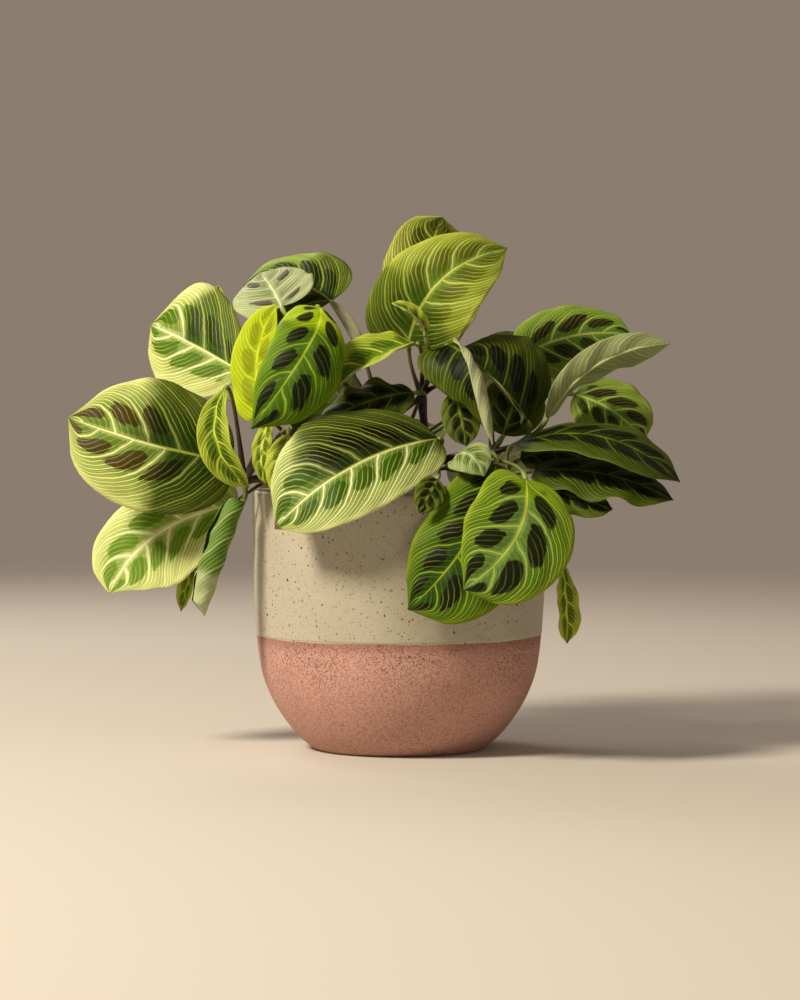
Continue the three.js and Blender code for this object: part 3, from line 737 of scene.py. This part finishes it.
def blade_face(leaf, finish):
    """The patterned upper side: pale veins in a feathered pale band, and blotches between them."""
    s = Shading(leaf.node + "_face")
    v = Veins(s, leaf)
    fate = s.luck(s.whole(v.count) + (leaf.seed + v.right * RIGHT_BLOTCHES))
    tear = s.luck(s.whole(v.count * FINE_VEINS) + (leaf.seed + v.right * RIGHT_TEARS))
    grain = s.noise(v.where, 2400, 2, 0.6)
    ragged = s.noise(v.where, 650, 2, 0.6) - 0.5
    cloud = s.noise(v.where, 38, 3)

    # the green between the veins, and the pale bands that feather out from them
    outer_zone = s.rise(v.share + (cloud - 0.5) * 0.4, 0.32, 0.78)
    halo_width = 0.7 + 1.9 * s.fall(v.share, 0.0, 0.65)
    halo = s.fall(v.to_main + ragged * 1.6, halo_width * 0.5, halo_width)
    band = s.fall(v.to_midrib + ragged * 2.5, 1.6, 3.2)
    colour = s.layers(
        linear(finish.inner),
        (finish.outer, outer_zone),
        (finish.margin, s.rise(v.share, 0.84, 1.0) * 0.7),
        (finish.pale, s.most(halo, band) * finish.feather),
    )

    # the part before base_end has its own colours
    line = linear(finish.vein)
    mark = linear(finish.blotch)
    quiet = 1.0
    if finish.base_end:
        left_end, right_end = pair(finish.base_end)
        end = left_end + (right_end - left_end) * v.right
        to_base = s.fall(v.t + (cloud - 0.5) * 0.3 + ragged * 0.03 - end, -0.09, 0.07)
        colour = s.mix(colour, linear(finish.base), to_base * (0.95 - 0.2 * halo))
        line = s.mix(line, linear(finish.base_line), to_base)
        mark = s.mix(mark, linear(finish.base_blotch), to_base)
        quiet = 1 - 0.2 * to_base

    # oval blotches between the main veins, torn along the fine veins
    beside = v.share - finish.blotch_middle + 0.07 * (tear - 0.5) + ragged * 0.05
    extent = finish.blotch_extent * (0.82 + 0.3 * fate)
    widthwise = (v.from_middle + ragged * 0.12) / finish.blotch_width
    roundness = widthwise * widthwise + beside * beside / (extent * extent)
    blotch = s.fall(roundness, 0.82, 1.12) * s.rise(v.t, 0.06, 0.12)
    blotch = s.least(blotch * (0.88 + 0.25 * cloud), 0.97) * finish.blotch_share
    if finish.blotch_luck < 1:
        blotch = blotch * (1 - (fate > finish.blotch_luck))
    colour = s.mix(colour, mark, blotch)

    # the veins, dulled where they cross a blotch
    line = s.mix(line, linear(finish.blotch_line), blotch * 0.85)
    fine = s.fall(v.to_fine, 0.1, 0.42) * (0.2 + 0.6 * s.rise(v.share, 0.12, 0.4)) * quiet
    hair = s.fall(v.to_hair, 0.05, 0.3) * 0.3 * outer_zone * quiet
    main = s.fall(v.to_main, 0.28, 0.62) * (0.95 - 0.2 * v.share)
    rib = s.fall(v.to_midrib, 0.95 - 0.6 * v.t, 1.35 - 0.75 * v.t)
    fine = s.most(fine * (1 - 0.35 * blotch), hair * (1 - blotch))
    colour = s.mix(colour, line, s.most(fine, s.most(main, rib)))
    if finish.dry:
        dry = s.rise(v.t + ragged * 0.02, 0.968, 0.986)
        colour = s.mix(colour, linear(finish.dry), dry)
    colour = s.shade(colour, 0.78 + 0.32 * grain + 0.12 * cloud)

    relief = fine * 0.3 + main * 0.5 + rib + grain * 0.3
    roughness = 0.46 + 0.14 * grain - 0.04 * blotch
    return s.finish(
        colour, roughness, s.bump(relief, 0.0003, 0.6), glow=linear(finish.glow), through=finish.through,
        **{"Specular IOR Level": FACE_SPECULAR},
    )


def blade_back(leaf, finish):
    """The dull grey-green underside, with its veins standing out."""
    s = Shading(leaf.node + "_back")
    v = Veins(s, leaf)
    grain = s.noise(v.where, 2200, 2, 0.6)
    cloud = s.noise(v.where, 50, 3)
    colour = s.mix(linear(finish.under), linear("#6E7C42"), s.rise(cloud, 0.4, 0.75) * 0.5)
    if finish.under_base:
        colour = s.mix(linear(finish.under_base), colour, s.rise(v.t + (cloud - 0.5) * 0.2, 0.6, 0.72))
    lines = s.most(s.fall(v.to_main, 0.25, 0.7), s.fall(v.to_fine, 0.1, 0.5) * 0.55)
    rib = s.fall(v.to_midrib, 0.9 - 0.6 * v.t, 1.5 - 0.9 * v.t)
    colour = s.mix(colour, linear("#CDD09C"), s.most(lines * 0.5, rib * 0.75))
    colour = s.shade(colour, 0.8 + 0.35 * grain)
    relief = s.most(lines, rib) * 0.7 + grain * 0.3
    return s.finish(
        colour, 0.58, s.bump(relief, 0.0004, 0.6), glow=linear(finish.glow), through=finish.through,
        **{"Specular IOR Level": BACK_SPECULAR},
    )


# ---- curves and meshes ----
def pair(value):
    return value if isinstance(value, tuple) else (value, value)


def through(points, count):
    """A smooth centripetal curve through the points, as count places evenly shared between the spans."""
    points = np.array(points, float)
    padded = np.vstack([2 * points[0] - points[1], points, 2 * points[-1] - points[-2]])
    spans = len(points) - 1
    places = []
    for step in np.linspace(0, spans, count):
        i = min(int(step), spans - 1)
        w = step - i
        p0, p1, p2, p3 = padded[i : i + 4]
        d0, d1, d2 = (math.sqrt(np.linalg.norm(b - a)) for a, b in ((p0, p1), (p1, p2), (p2, p3)))
        m1 = ((p1 - p0) / d0 - (p2 - p0) / (d0 + d1) + (p2 - p1) / d1) * d1
        m2 = ((p2 - p1) / d1 - (p3 - p1) / (d1 + d2) + (p3 - p2) / d2) * d1
        places.append(
            p1 + m1 * w + (-3 * p1 + 3 * p2 - 2 * m1 - m2) * w**2 + (2 * p1 - 2 * p2 + m1 + m2) * w**3
        )
    return np.array(places)


def unit(vectors):
    return vectors / np.maximum(np.linalg.norm(vectors, axis=-1, keepdims=True), 1e-9)


def bulge(place, middle, width):
    """A smooth swelling that is 1 at its middle."""
    return np.exp(-(((place - middle) / width) ** 2))


class Shell:
    """Points and faces of closed shells that end up in one mesh.

    A face remembers its material slot. A point's marks are its place in the UV map.
    """

    def __init__(self):
        self.points = []
        self.faces = []
        self.slots = []
        self.marks = []

    def add(self, points, faces, marks=None, slot=0):
        first = sum(len(each) for each in self.points)
        self.points.append(np.asarray(points, float))
        self.faces += [tuple(first + i for i in face) for face in faces]
        self.slots += [slot] * len(faces) if isinstance(slot, int) else list(slot)
        self.marks.append(np.zeros((len(points), 2)) if marks is None else marks)

    def build(self, name, materials, sharp=None):
        mesh = bpy.data.meshes.new(name)
        mesh.from_pydata(np.vstack(self.points) * MM, [], self.faces)
        for material in materials:
            mesh.materials.append(material)
        mesh.polygons.foreach_set("material_index", self.slots)
        corners = np.empty(len(mesh.loops), dtype=np.int32)
        mesh.loops.foreach_get("vertex_index", corners)
        layer = mesh.uv_layers.new(name=BLADE_UV)
        layer.uv.foreach_set("vector", np.vstack(self.marks)[corners].ravel())
        mesh.shade_smooth()
        if sharp:
            mesh.set_sharp_from_angle(angle=math.radians(sharp))
        if mesh.validate():
            raise RuntimeError(f"the mesh of {name} had faults")
        piece = bpy.data.objects.new(name, mesh)
        bpy.context.collection.objects.link(piece)
        return piece


def stand_for(piece, node):
    """The piece takes the node's place on the body and its finish from the slot."""
    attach(piece, BODY)
    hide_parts(node)


def ring_faces(rows, around):
    """Faces over rows of points round an axis, and to the two end points that follow the rows."""
    first, last = rows * around, rows * around + 1
    top = first - around
    faces = []
    for a in range(around):
        b = (a + 1) % around
        faces.append((first, b, a))
        for low in range(0, top, around):
            high = low + around
            faces.append((low + a, low + b, high + b, high + a))
        faces.append((top + a, top + b, last))
    return faces


def turned(profile, segments):
    """Points and faces of a body turned round +Z from radius and height pairs that start and end at 0."""
    inner = np.array(profile[1:-1], float)
    angles = np.linspace(0, 2 * math.pi, segments, endpoint=False)
    rings = np.stack(
        [
            inner[:, :1] * np.cos(angles),
            inner[:, :1] * np.sin(angles),
            np.repeat(inner[:, 1:], segments, axis=1),
        ],
        axis=-1,
    )
    points = np.vstack([rings.reshape(-1, 3), [(0, 0, profile[0][1]), (0, 0, profile[-1][1])]])
    return points, ring_faces(len(inner), segments)


def tube(path, widths, thicknesses=None):
    """Points, faces and lengthwise marks of a closed tube, oval where the two half-measures differ."""
    thicknesses = widths if thicknesses is None else thicknesses
    along = unit(np.gradient(path, axis=0))
    side = np.cross(along[0], (0, 0, 1) if abs(along[0][2]) < 0.9 else (0, 1, 0))
    turns = np.linspace(0, 2 * math.pi, TUBE_SIDES, endpoint=False)
    rings = []
    for centre, ahead, width, thickness in zip(path, along, widths, thicknesses):
        side = unit(side - ahead * side.dot(ahead))
        up = np.cross(side, ahead)
        rings.append(
            centre
            + width * np.cos(turns)[:, None] * side
            + thickness * np.sin(turns)[:, None] * up
        )
    points = np.vstack([*rings, path[:1], path[-1:]])
    faces = [face[::-1] for face in ring_faces(len(path), TUBE_SIDES)]
    share = np.linspace(0, 1, len(path))
    marks = np.stack([np.zeros(len(path)), share], axis=1).repeat(TUBE_SIDES, axis=0)
    return points, faces, np.vstack([marks, (0, 0), (0, 1)])


# ---- pot and soil ----
def pot_side():
    """The smooth outer side of the pot, as rows of radius and height."""
    return through(POT_SIDE, POT_SIDE_STEPS)


def glaze_inset(height, glaze_line):
    """How far the surface lies behind the glaze's: nothing above the line, the whole step below it."""
    return GLAZE_STEP * (0.5 - 0.5 * np.tanh((height - glaze_line) / GLAZE_SOFTNESS))


def pot_profile(glaze_line):
    """Radius and height pairs from the middle of the base, over the rim, to the middle of the floor."""
    side = pot_side()
    rim_start = POT_HEIGHT - RIM_ROUND
    edge = np.linspace(glaze_line - GLAZE_EDGE, glaze_line + GLAZE_EDGE, GLAZE_EDGE_ROWS)
    edge_radii = np.interp(edge, side[:, 1], side[:, 0]) - glaze_inset(edge, glaze_line)
    outside = [(r - glaze_inset(z, glaze_line), z) for r, z in side]
    below = [(r, z) for r, z in outside if FOOT_ROUND < z < edge[0]]
    above = [(r, z) for r, z in outside if edge[-1] < z <= rim_start]
    foot_radius, rim_radius = POT_SIDE[0][0], POT_SIDE[-1][0]
    foot = [(0, 0), (foot_radius - 2 * FOOT_ROUND, 0), (foot_radius - FOOT_ROUND, 0.1 * FOOT_ROUND)]
    outer_round = [
        (rim_radius - RIM_ROUND * (1 - math.cos(a)), POT_HEIGHT - RIM_ROUND * (1 - math.sin(a)))
        for a in np.linspace(0, math.pi / 2, RIM_STEPS)[1:]
    ]
    inner_round = [(2 * rim_radius - POT_WALL - r, z) for r, z in reversed(outer_round)]
    inside = [(r - POT_WALL, z) for r, z in side[::-1] if POT_HOLLOW_START < z < rim_start - 1]
    floor = [(POT_FLOOR_RADIUS, POT_FLOOR), (0, POT_FLOOR)]
    return [*foot, *below, *zip(edge_radii, edge), *above, *outer_round, *inner_round, *inside, *floor]


def make_pot(settings):
    shell = Shell()
    shell.add(*turned(pot_profile(settings.glaze_line / MM), POT_SEGMENTS))
    pot = shell.build("ceramic_pot", [glazed_clay(settings)], sharp=POT_CREASE)
    stand_for(pot, "pot")


def soil_height(x, y, radius):
    """Lumps of several sizes, a little lower at the wall of the pot."""
    place = Vector((x, y, 0))
    lumps = sum(height * noise.noise(place / width) for height, width in SOIL_LUMPS)
    edge = max(0.0, (math.hypot(x, y) / radius - SOIL_EDGE) / (1 - SOIL_EDGE))
    return SOIL_TOP - SOIL_SINK + lumps - SOIL_EDGE_DROP * edge


def bark_bit(chance, radius):
    """Points and faces of one rough chip that lies on the soil."""
    reach, turn = radius * BIT_REACH * math.sqrt(chance.random()), chance.random() * 2 * math.pi
    x, y = reach * math.cos(turn), reach * math.sin(turn)
    size = BIT_SIZE + BIT_GROWTH * chance.random() ** 3
    bit = bmesh.new()
    bmesh.ops.create_icosphere(bit, subdivisions=1, radius=size)
    stretch = Matrix.Diagonal((*(0.5 + chance.random(3)), 1))
    spin = Matrix.Rotation(chance.random() * 6, 4, Vector(chance.random(3) - 0.5).normalized())
    bmesh.ops.transform(bit, matrix=spin @ stretch, verts=bit.verts)
    centre = np.array((x, y, soil_height(x, y, radius) + 0.2 * size))
    points = [centre + np.array(v.co) * (0.75 + 0.5 * chance.random()) for v in bit.verts]
    faces = [tuple(v.index for v in f.verts) for f in bit.faces]
    bit.free()
    return points, faces


def make_soil():
    heights, radii = pot_side()[:, 1], pot_side()[:, 0] - POT_WALL - SOIL_GAP
    radius = np.interp(SOIL_TOP, heights, radii)
    wall = [(np.interp(z, heights, radii), z) for z in SOIL_ROWS]
    rings = [(radius * share, SOIL_TOP) for share in np.linspace(1, 0, SOIL_RINGS)]
    points, faces = turned([(0, SOIL_ROWS[0]), *wall, *rings], SOIL_SEGMENTS)
    for point in points:
        if point[2] > SOIL_ROWS[-1]:
            point[2] = soil_height(point[0], point[1], radius)
    shell = Shell()
    shell.add(points, faces)
    chance = np.random.default_rng(SOIL_SEED)
    for _ in range(SOIL_BITS):
        shell.add(*bark_bit(chance, radius), slot=1)
    soil = shell.build("potting_soil", [potting_mix(), bark()])
    stand_for(soil, "soil")


# ---- blades ----
class Midrib:
    """The parabola through a blade's base, middle and tip, with a frame that turns only by the twist."""

    def __init__(self, leaf):
        base, middle, tip = (np.array(place, float) for place in leaf.rib)
        self.base = base
        self.bend = 2 * (base + tip - 2 * middle)
        self.start = tip - base - self.bend
        self.twist = leaf.twist
        ahead = self.along(np.array(0.5))
        look = np.array(leaf.face, float)
        look = unit(look - ahead * look.dot(ahead))
        binormal = np.cross(self.start, self.bend)
        if np.linalg.norm(binormal) < 1:
            binormal = np.cross(ahead, look)
        self.binormal = unit(binormal)
        in_plane = np.cross(self.binormal, ahead)
        self.lean = math.atan2(look.dot(self.binormal), look.dot(in_plane))

    def at(self, t):
        t = np.asarray(t, float)[..., None]
        return self.base + self.start * t + self.bend * t * t

    def along(self, t):
        return unit(self.start + 2 * np.asarray(t, float)[..., None] * self.bend)

    def up(self, t):
        angle = (self.lean + np.radians(self.twist) * (np.asarray(t, float) - 0.5))[..., None]
        return np.cross(self.binormal, self.along(t)) * np.cos(angle) + self.binormal * np.sin(angle)


def rounded(t, widest, fullness):
    """Half-width of an egg-shaped blade as a share of the widest."""
    e = np.minimum(t / OVAL_END, 1) ** (math.log(0.5) / np.log(widest))
    oval = np.maximum(4 * e * (1 - e), 0) ** (OVAL_ROUNDNESS * fullness)
    late = np.maximum(t - SLIMMING_START, 0) / (1 - SLIMMING_START)
    return oval * (1 - TIP_SLIMMING * late**2)


def outline(t, widest, fullness):
    """Half-width as a share of the widest: round at the base, drawn to a short point."""
    taper = rounded(TIP_START, widest, fullness) * (1 - t) / (1 - TIP_START)
    return np.where(t > TIP_START, taper, rounded(t, widest, fullness))


def of_side(value, right):
    left_value, right_value = pair(value)
    return np.where(right, right_value, left_value)


def surface_normal(surface):
    return unit(np.cross(np.gradient(surface, axis=1), np.gradient(surface, axis=0)))


def flutter(leaf, t, share, right):
    """The small uneven waves of the margin, as a share of the flutter that is set."""
    phase = leaf.seed * 1.7 + 2.3 * right
    waves = 0
    for order, (height, rate) in enumerate(FLUTTER_WAVES, start=1):
        waves = waves + height * np.sin(rate * t + order * phase)
    return waves * share**2.5 * np.sin(math.pi * t) * min(1, leaf.length / FLUTTER_LENGTH)


def blade_surface(leaf, t, u, settings):
    """The middle surface of a blade at t from base to tip and u from the left to the right margin.

    It also returns the blade's width there, as a share of the widest.
    """
    rib = Midrib(leaf)
    right = u >= 0
    share = np.abs(u)
    half = of_side(leaf.half, right)
    narrowest = np.where(t < 0.5, BLADE_BASE_HALF, BLADE_TIP_HALF)
    width = np.maximum(half * outline(t, of_side(leaf.widest, right), leaf.fullness), narrowest)
    full = width / half

    opening = 1 if leaf.fullness < 1 else np.minimum(t / FOLD_START, 1)
    curl = np.radians(of_side(leaf.curl, right)) * share * opening
    slope = np.radians(of_side(leaf.fold, right)) * opening + curl / 2
    chord = share * width * np.sinc(curl / (2 * math.pi))
    out = np.sign(u) * chord * np.cos(slope)
    ripple = np.sin(2 * math.pi * (RIPPLES * t + RIPPLE_OFFSET * right)) * share**2 * np.sin(math.pi * t)
    up = chord * np.sin(slope) + leaf.wave * ripple
    back = of_side(leaf.lobe, right) * share**1.3 * (1 - t) ** 4 * (width - BLADE_BASE_HALF) / half
    along, lift = rib.along(t), rib.up(t)
    surface = rib.at(t)
    for distance, direction in ((out, np.cross(along, lift)), (up, lift), (-back, along)):
        surface = surface + direction * distance[..., None]

    # the blade rises between its veins, most beside the midrib
    quilt = -np.cos(2 * math.pi * vein_count(leaf, t, share, right))
    quilt = quilt * np.clip(share / QUILT_START, 0, 1) * (1 - 0.5 * share) * full
    relief = (quilt * settings.quilt + flutter(leaf, t, share, right) * settings.flutter) / MM
    return surface + surface_normal(surface) * relief[..., None], full


def blade_faces(rows, columns):
    """Faces of the upper side, the underside and the margin between them, and the slot of each."""
    count = rows * columns
    grid = np.arange(count).reshape(rows, columns)
    quads = np.stack([grid[:-1, :-1], grid[:-1, 1:], grid[1:, 1:], grid[1:, :-1]], axis=-1).reshape(-1, 4)
    loop = np.concatenate([grid[0, :], grid[1:, -1], grid[-1, -2::-1], grid[-2:0:-1, 0]])
    after = np.roll(loop, -1)
    margin = np.stack([loop, loop + count, after + count, after], axis=-1)
    faces = np.vstack([quads, quads[:, ::-1] + count, margin]).tolist()
    return faces, [0] * len(quads) + [1] * (len(quads) + len(margin))


def make_blade(leaf, settings):
    even = np.linspace(0, 1, BLADE_ROWS)
    stations = END_CROWDING * (0.5 - 0.5 * np.cos(math.pi * even)) + (1 - END_CROWDING) * even
    shares = np.linspace(-1, 1, BLADE_COLUMNS)
    across = np.sign(shares) * np.abs(shares) ** BLADE_CROWDING
    t, u = np.meshgrid(stations, across, indexing="ij")
    share = np.abs(u)
    surface, full = blade_surface(leaf, t, u, settings)
    normal = surface_normal(surface)
    half_thick = settings.thickness / MM / 2 * (1 - MARGIN_THINNING * share**6)
    keel = KEEL_HEIGHT * bulge(share, 0, KEEL_WIDTH) * (1 - KEEL_TAPER * t) * np.clip(full * 2, 0.3, 1)
    top = surface + normal * half_thick[..., None]
    bottom = surface - normal * (half_thick + keel)[..., None]
    points = np.vstack([top.reshape(-1, 3), bottom.reshape(-1, 3)])
    marks = np.stack([u.ravel() / 2 + 0.5, t.ravel()], axis=1)
    faces, slots = blade_faces(*t.shape)
    shell = Shell()
    shell.add(points, faces, np.vstack([marks, marks]), slots)
    finish = FINISHES[leaf.finish]
    blade = shell.build("blade_" + leaf.name, [blade_face(leaf, finish), blade_back(leaf, finish)])
    stand_for(blade, leaf.node)


# ---- shoots ----
def petiole_path(node, leaf):
    """From the node to the blade's base, arriving along the midrib."""
    rib = Midrib(leaf)
    end, along = rib.at(0), rib.along(0)
    elbow = end - along * np.linalg.norm(end - node) * leaf.reach
    t = np.linspace(0, 1, PETIOLE_STEPS)[:, None]
    return (1 - t) ** 2 * node + 2 * t * (1 - t) * elbow + t * t * end


def add_petiole(shell, node, leaf):
    """Adds the petiole, swollen where it clasps the node and under the blade, and any sheath."""
    line = petiole_path(node, leaf)
    length = np.linalg.norm(np.diff(line, axis=0), axis=1).sum()
    share = np.linspace(0, 1, len(line))
    joint = bulge((1 - share) * length, PULVINUS_PLACE, PULVINUS_LENGTH / 2)
    radii = PETIOLE_RADIUS + (PETIOLE_FLARE - PETIOLE_RADIUS) * bulge(share, 0, PETIOLE_FLARE_REACH)
    radii += (PULVINUS_RADIUS - PETIOLE_RADIUS) * joint
    shell.add(*tube(line, radii), slot=1)
    if leaf.sheath:
        clasped = line[len(line) // 3 :]
        widths = leaf.sheath * np.sin(math.pi * np.linspace(0.04, 0.96, len(clasped))) ** 0.5
        shell.add(*tube(clasped, widths, SHEATH_FLATNESS * widths), slot=2)


def make_shoot(name, places, skins):
    root, *rest = (np.array(place, float) for place in places)
    root[2] = SOIL_TOP
    collar = root + (0, 0, STEM_COLLAR)
    path = through([root - (0, 0, STEM_BURIED), collar, *rest], STEM_STEPS)
    share = np.linspace(0, 1, len(path))
    radii = STEM_RADIUS + sum(more * bulge(share, middle, reach) for more, middle, reach in STEM_SWELLINGS)
    shell = Shell()
    shell.add(*tube(path, radii))
    for leaf in LEAVES:
        if leaf.shoot == name:
            add_petiole(shell, rest[-1], leaf)
    shoot = shell.build("shoot_of_" + name, skins)
    stand_for(shoot, "shoot_" + name)


# ---- stage ----
def put(name, data):
    """An object in the scene that isn't a piece of the part."""
    thing = bpy.data.objects.new(name, data)
    bpy.context.scene.collection.objects.link(thing)
    return thing


def make_camera(settings):
    lens = bpy.data.cameras.new("camera")
    lens.lens = settings.focal_length
    lens.sensor_width = SENSOR_WIDTH
    camera = put("camera", lens)
    camera.location = settings.camera_place
    camera.rotation_euler = (math.pi / 2 - settings.camera_pitch, 0, 0)
    bpy.context.scene.camera = camera


def pale_floor(settings):
    """Matt, and fading out into the backdrop with distance."""
    s = Shading("pale_floor")
    x, y, _ = s.split(s.place())
    far = s.maths("SQRT", x * x + y * y) / settings.floor_radius
    shade = s.node("BsdfDiffuse", sockets={"Color": (*settings.floor_colour, 1)})
    clear = s.node("BsdfTransparent")
    fade = s.rise(far, *FLOOR_FADE)
    surface = s.node("MixShader", sockets={"Fac": fade, "Shader": shade, "Shader_001": clear})
    s.node("OutputMaterial", sockets={"Surface": surface})
    return s.material


def make_floor(settings):
    mesh = bpy.data.meshes.new("floor")
    disc = bmesh.new()
    bmesh.ops.create_circle(disc, cap_ends=True, segments=FLOOR_SEGMENTS, radius=settings.floor_radius)
    disc.to_mesh(mesh)
    disc.free()
    mesh.materials.append(pale_floor(settings))
    floor = put("floor", mesh)


def make_lights(settings):
    for name, place, size, colour in LIGHTS:
        light = bpy.data.lights.new(name, "AREA")
        light.size = size
        light.energy = getattr(settings, name + "_power")
        light.color = colour
        lamp = put(name, light)
        lamp.location = place
        lamp.rotation_euler = (LIGHT_AIM - Vector(place)).to_track_quat("-Z", "Y").to_euler()


def make_backdrop(settings):
    world = bpy.data.worlds.new("studio")
    world.use_nodes = True
    background = world.node_tree.nodes["Background"]
    background.inputs["Color"].default_value = (*settings.world_colour, 1)
    background.inputs["Strength"].default_value = settings.world_strength
    bpy.context.scene.world = world
    bpy.context.scene.view_settings.view_transform = "Standard"


# ---- settings, operators and panel ----
class PrayerPlantPot(bpy.types.PropertyGroup):
    glaze_line: bpy.props.FloatProperty(
        name="Glaze line", description="Height where the glaze ends and the bare clay starts",
        default=0.067, unit="LENGTH",
    )
    glaze: bpy.props.FloatVectorProperty(
        name="Glaze", description="Colour of the glaze", subtype="COLOR", default=linear("#B2A997")[:3],
    )
    clay: bpy.props.FloatVectorProperty(
        name="Clay", description="Colour of the bare clay", subtype="COLOR", default=linear("#C8998A")[:3],
    )


class PrayerPlantBlades(bpy.types.PropertyGroup):
    thickness: bpy.props.FloatProperty(
        name="Thickness", description="Thickness of a blade", default=0.0006, unit="LENGTH",
    )
    quilt: bpy.props.FloatProperty(
        name="Quilting", description="How far a blade rises between its main veins",
        default=0.0006, unit="LENGTH",
    )
    flutter: bpy.props.FloatProperty(
        name="Flutter", description="Height of the small waves of a margin", default=0.0012, unit="LENGTH",
    )


class PrayerPlantStage(bpy.types.PropertyGroup):
    focal_length: bpy.props.FloatProperty(
        name="Focal length", description="Focal length of the camera in millimetres", default=108,
    )
    camera_place: bpy.props.FloatVectorProperty(
        name="Camera", description="Where the camera stands", subtype="TRANSLATION",
        default=(0.0006, -1.74, 0.199),
    )
    camera_pitch: bpy.props.FloatProperty(
        name="Pitch", description="How far the camera looks down", default=math.radians(1.81),
        subtype="ANGLE",
    )
    floor_radius: bpy.props.FloatProperty(
        name="Floor radius", description="Radius of the floor", default=2.4, unit="LENGTH",
    )
    floor_colour: bpy.props.FloatVectorProperty(
        name="Floor", description="Colour of the floor", subtype="COLOR", default=(0.54, 0.49, 0.44),
    )
    key_power: bpy.props.FloatProperty(name="Key light", description="Power in watts", default=60)
    fill_power: bpy.props.FloatProperty(name="Fill light", description="Power in watts", default=4)
    back_power: bpy.props.FloatProperty(name="Back light", description="Power in watts", default=15)
    world_colour: bpy.props.FloatVectorProperty(
        name="Backdrop", description="Colour of the backdrop", subtype="COLOR", default=(0.72, 0.57, 0.44),
    )
    world_strength: bpy.props.FloatProperty(
        name="Ambient light", description="Strength of the light from all round", default=0.36,
    )


class PRAYER_PLANT_OT_stage(bpy.types.Operator):
    """Set up the camera, the pale floor and the soft studio light"""

    bl_idname = "prayer_plant.stage"
    bl_label = "Stage"

    def execute(self, context):
        for make in (make_camera, make_floor, make_lights, make_backdrop):
            make(context.scene.prayer_plant_stage)
        return {"FINISHED"}


class PRAYER_PLANT_OT_pot(bpy.types.Operator):
    """Turn the two-tone ceramic pot"""

    bl_idname = "prayer_plant.pot"
    bl_label = "Pot"

    def execute(self, context):
        make_pot(context.scene.prayer_plant_pot)
        return {"FINISHED"}


class PRAYER_PLANT_OT_soil(bpy.types.Operator):
    """Fill the pot with lumpy potting mix"""

    bl_idname = "prayer_plant.soil"
    bl_label = "Soil"

    def execute(self, context):
        make_soil()
        return {"FINISHED"}


class PRAYER_PLANT_OT_shoots(bpy.types.Operator):
    """Grow the stems and petioles"""

    bl_idname = "prayer_plant.shoots"
    bl_label = "Shoots"

    def execute(self, context):
        skins = [stem_skin(), petiole_skin(), sheath_skin()]
        for name, places in SHOOTS.items():
            make_shoot(name, places, skins)
        return {"FINISHED"}


class PRAYER_PLANT_OT_blades(bpy.types.Operator):
    """Grow the patterned leaf blades"""

    bl_idname = "prayer_plant.blades"
    bl_label = "Blades"

    def execute(self, context):
        for leaf in LEAVES:
            make_blade(leaf, context.scene.prayer_plant_blades)
        return {"FINISHED"}


STEPS = (
    PRAYER_PLANT_OT_stage,
    PRAYER_PLANT_OT_pot,
    PRAYER_PLANT_OT_soil,
    PRAYER_PLANT_OT_shoots,
    PRAYER_PLANT_OT_blades,
)


class PRAYER_PLANT_PT_panel(bpy.types.Panel):
    """Settings and steps of the prayer plant"""

    bl_idname = "PRAYER_PLANT_PT_panel"
    bl_label = "Prayer plant"
    bl_space_type = "VIEW_3D"
    bl_region_type = "UI"
    bl_category = "Prayer plant"

    def draw(self, context):
        for group in GROUPS:
            settings = getattr(context.scene, group)
            for name in settings.bl_rna.properties.keys():
                if name not in ("rna_type", "name"):
                    self.layout.prop(settings, name)
        for step in STEPS:
            self.layout.operator(step.bl_idname)


GROUPS = {
    "prayer_plant_pot": PrayerPlantPot,
    "prayer_plant_blades": PrayerPlantBlades,
    "prayer_plant_stage": PrayerPlantStage,
}


def register():
    for kind in (*GROUPS.values(), *STEPS, PRAYER_PLANT_PT_panel):
        bpy.utils.register_class(kind)
    for name, kind in GROUPS.items():
        setattr(bpy.types.Scene, name, bpy.props.PointerProperty(type=kind))


def unregister():
    for name in GROUPS:
        delattr(bpy.types.Scene, name)
    for kind in (PRAYER_PLANT_PT_panel, *reversed(STEPS), *reversed(tuple(GROUPS.values()))):
        bpy.utils.unregister_class(kind)


def main():
    register()
    bpy.ops.prayer_plant.stage()
    bpy.ops.prayer_plant.pot()
    bpy.ops.prayer_plant.soil()
    bpy.ops.prayer_plant.shoots()
    bpy.ops.prayer_plant.blades()
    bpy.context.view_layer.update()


if __name__ == "__main__":
    main()
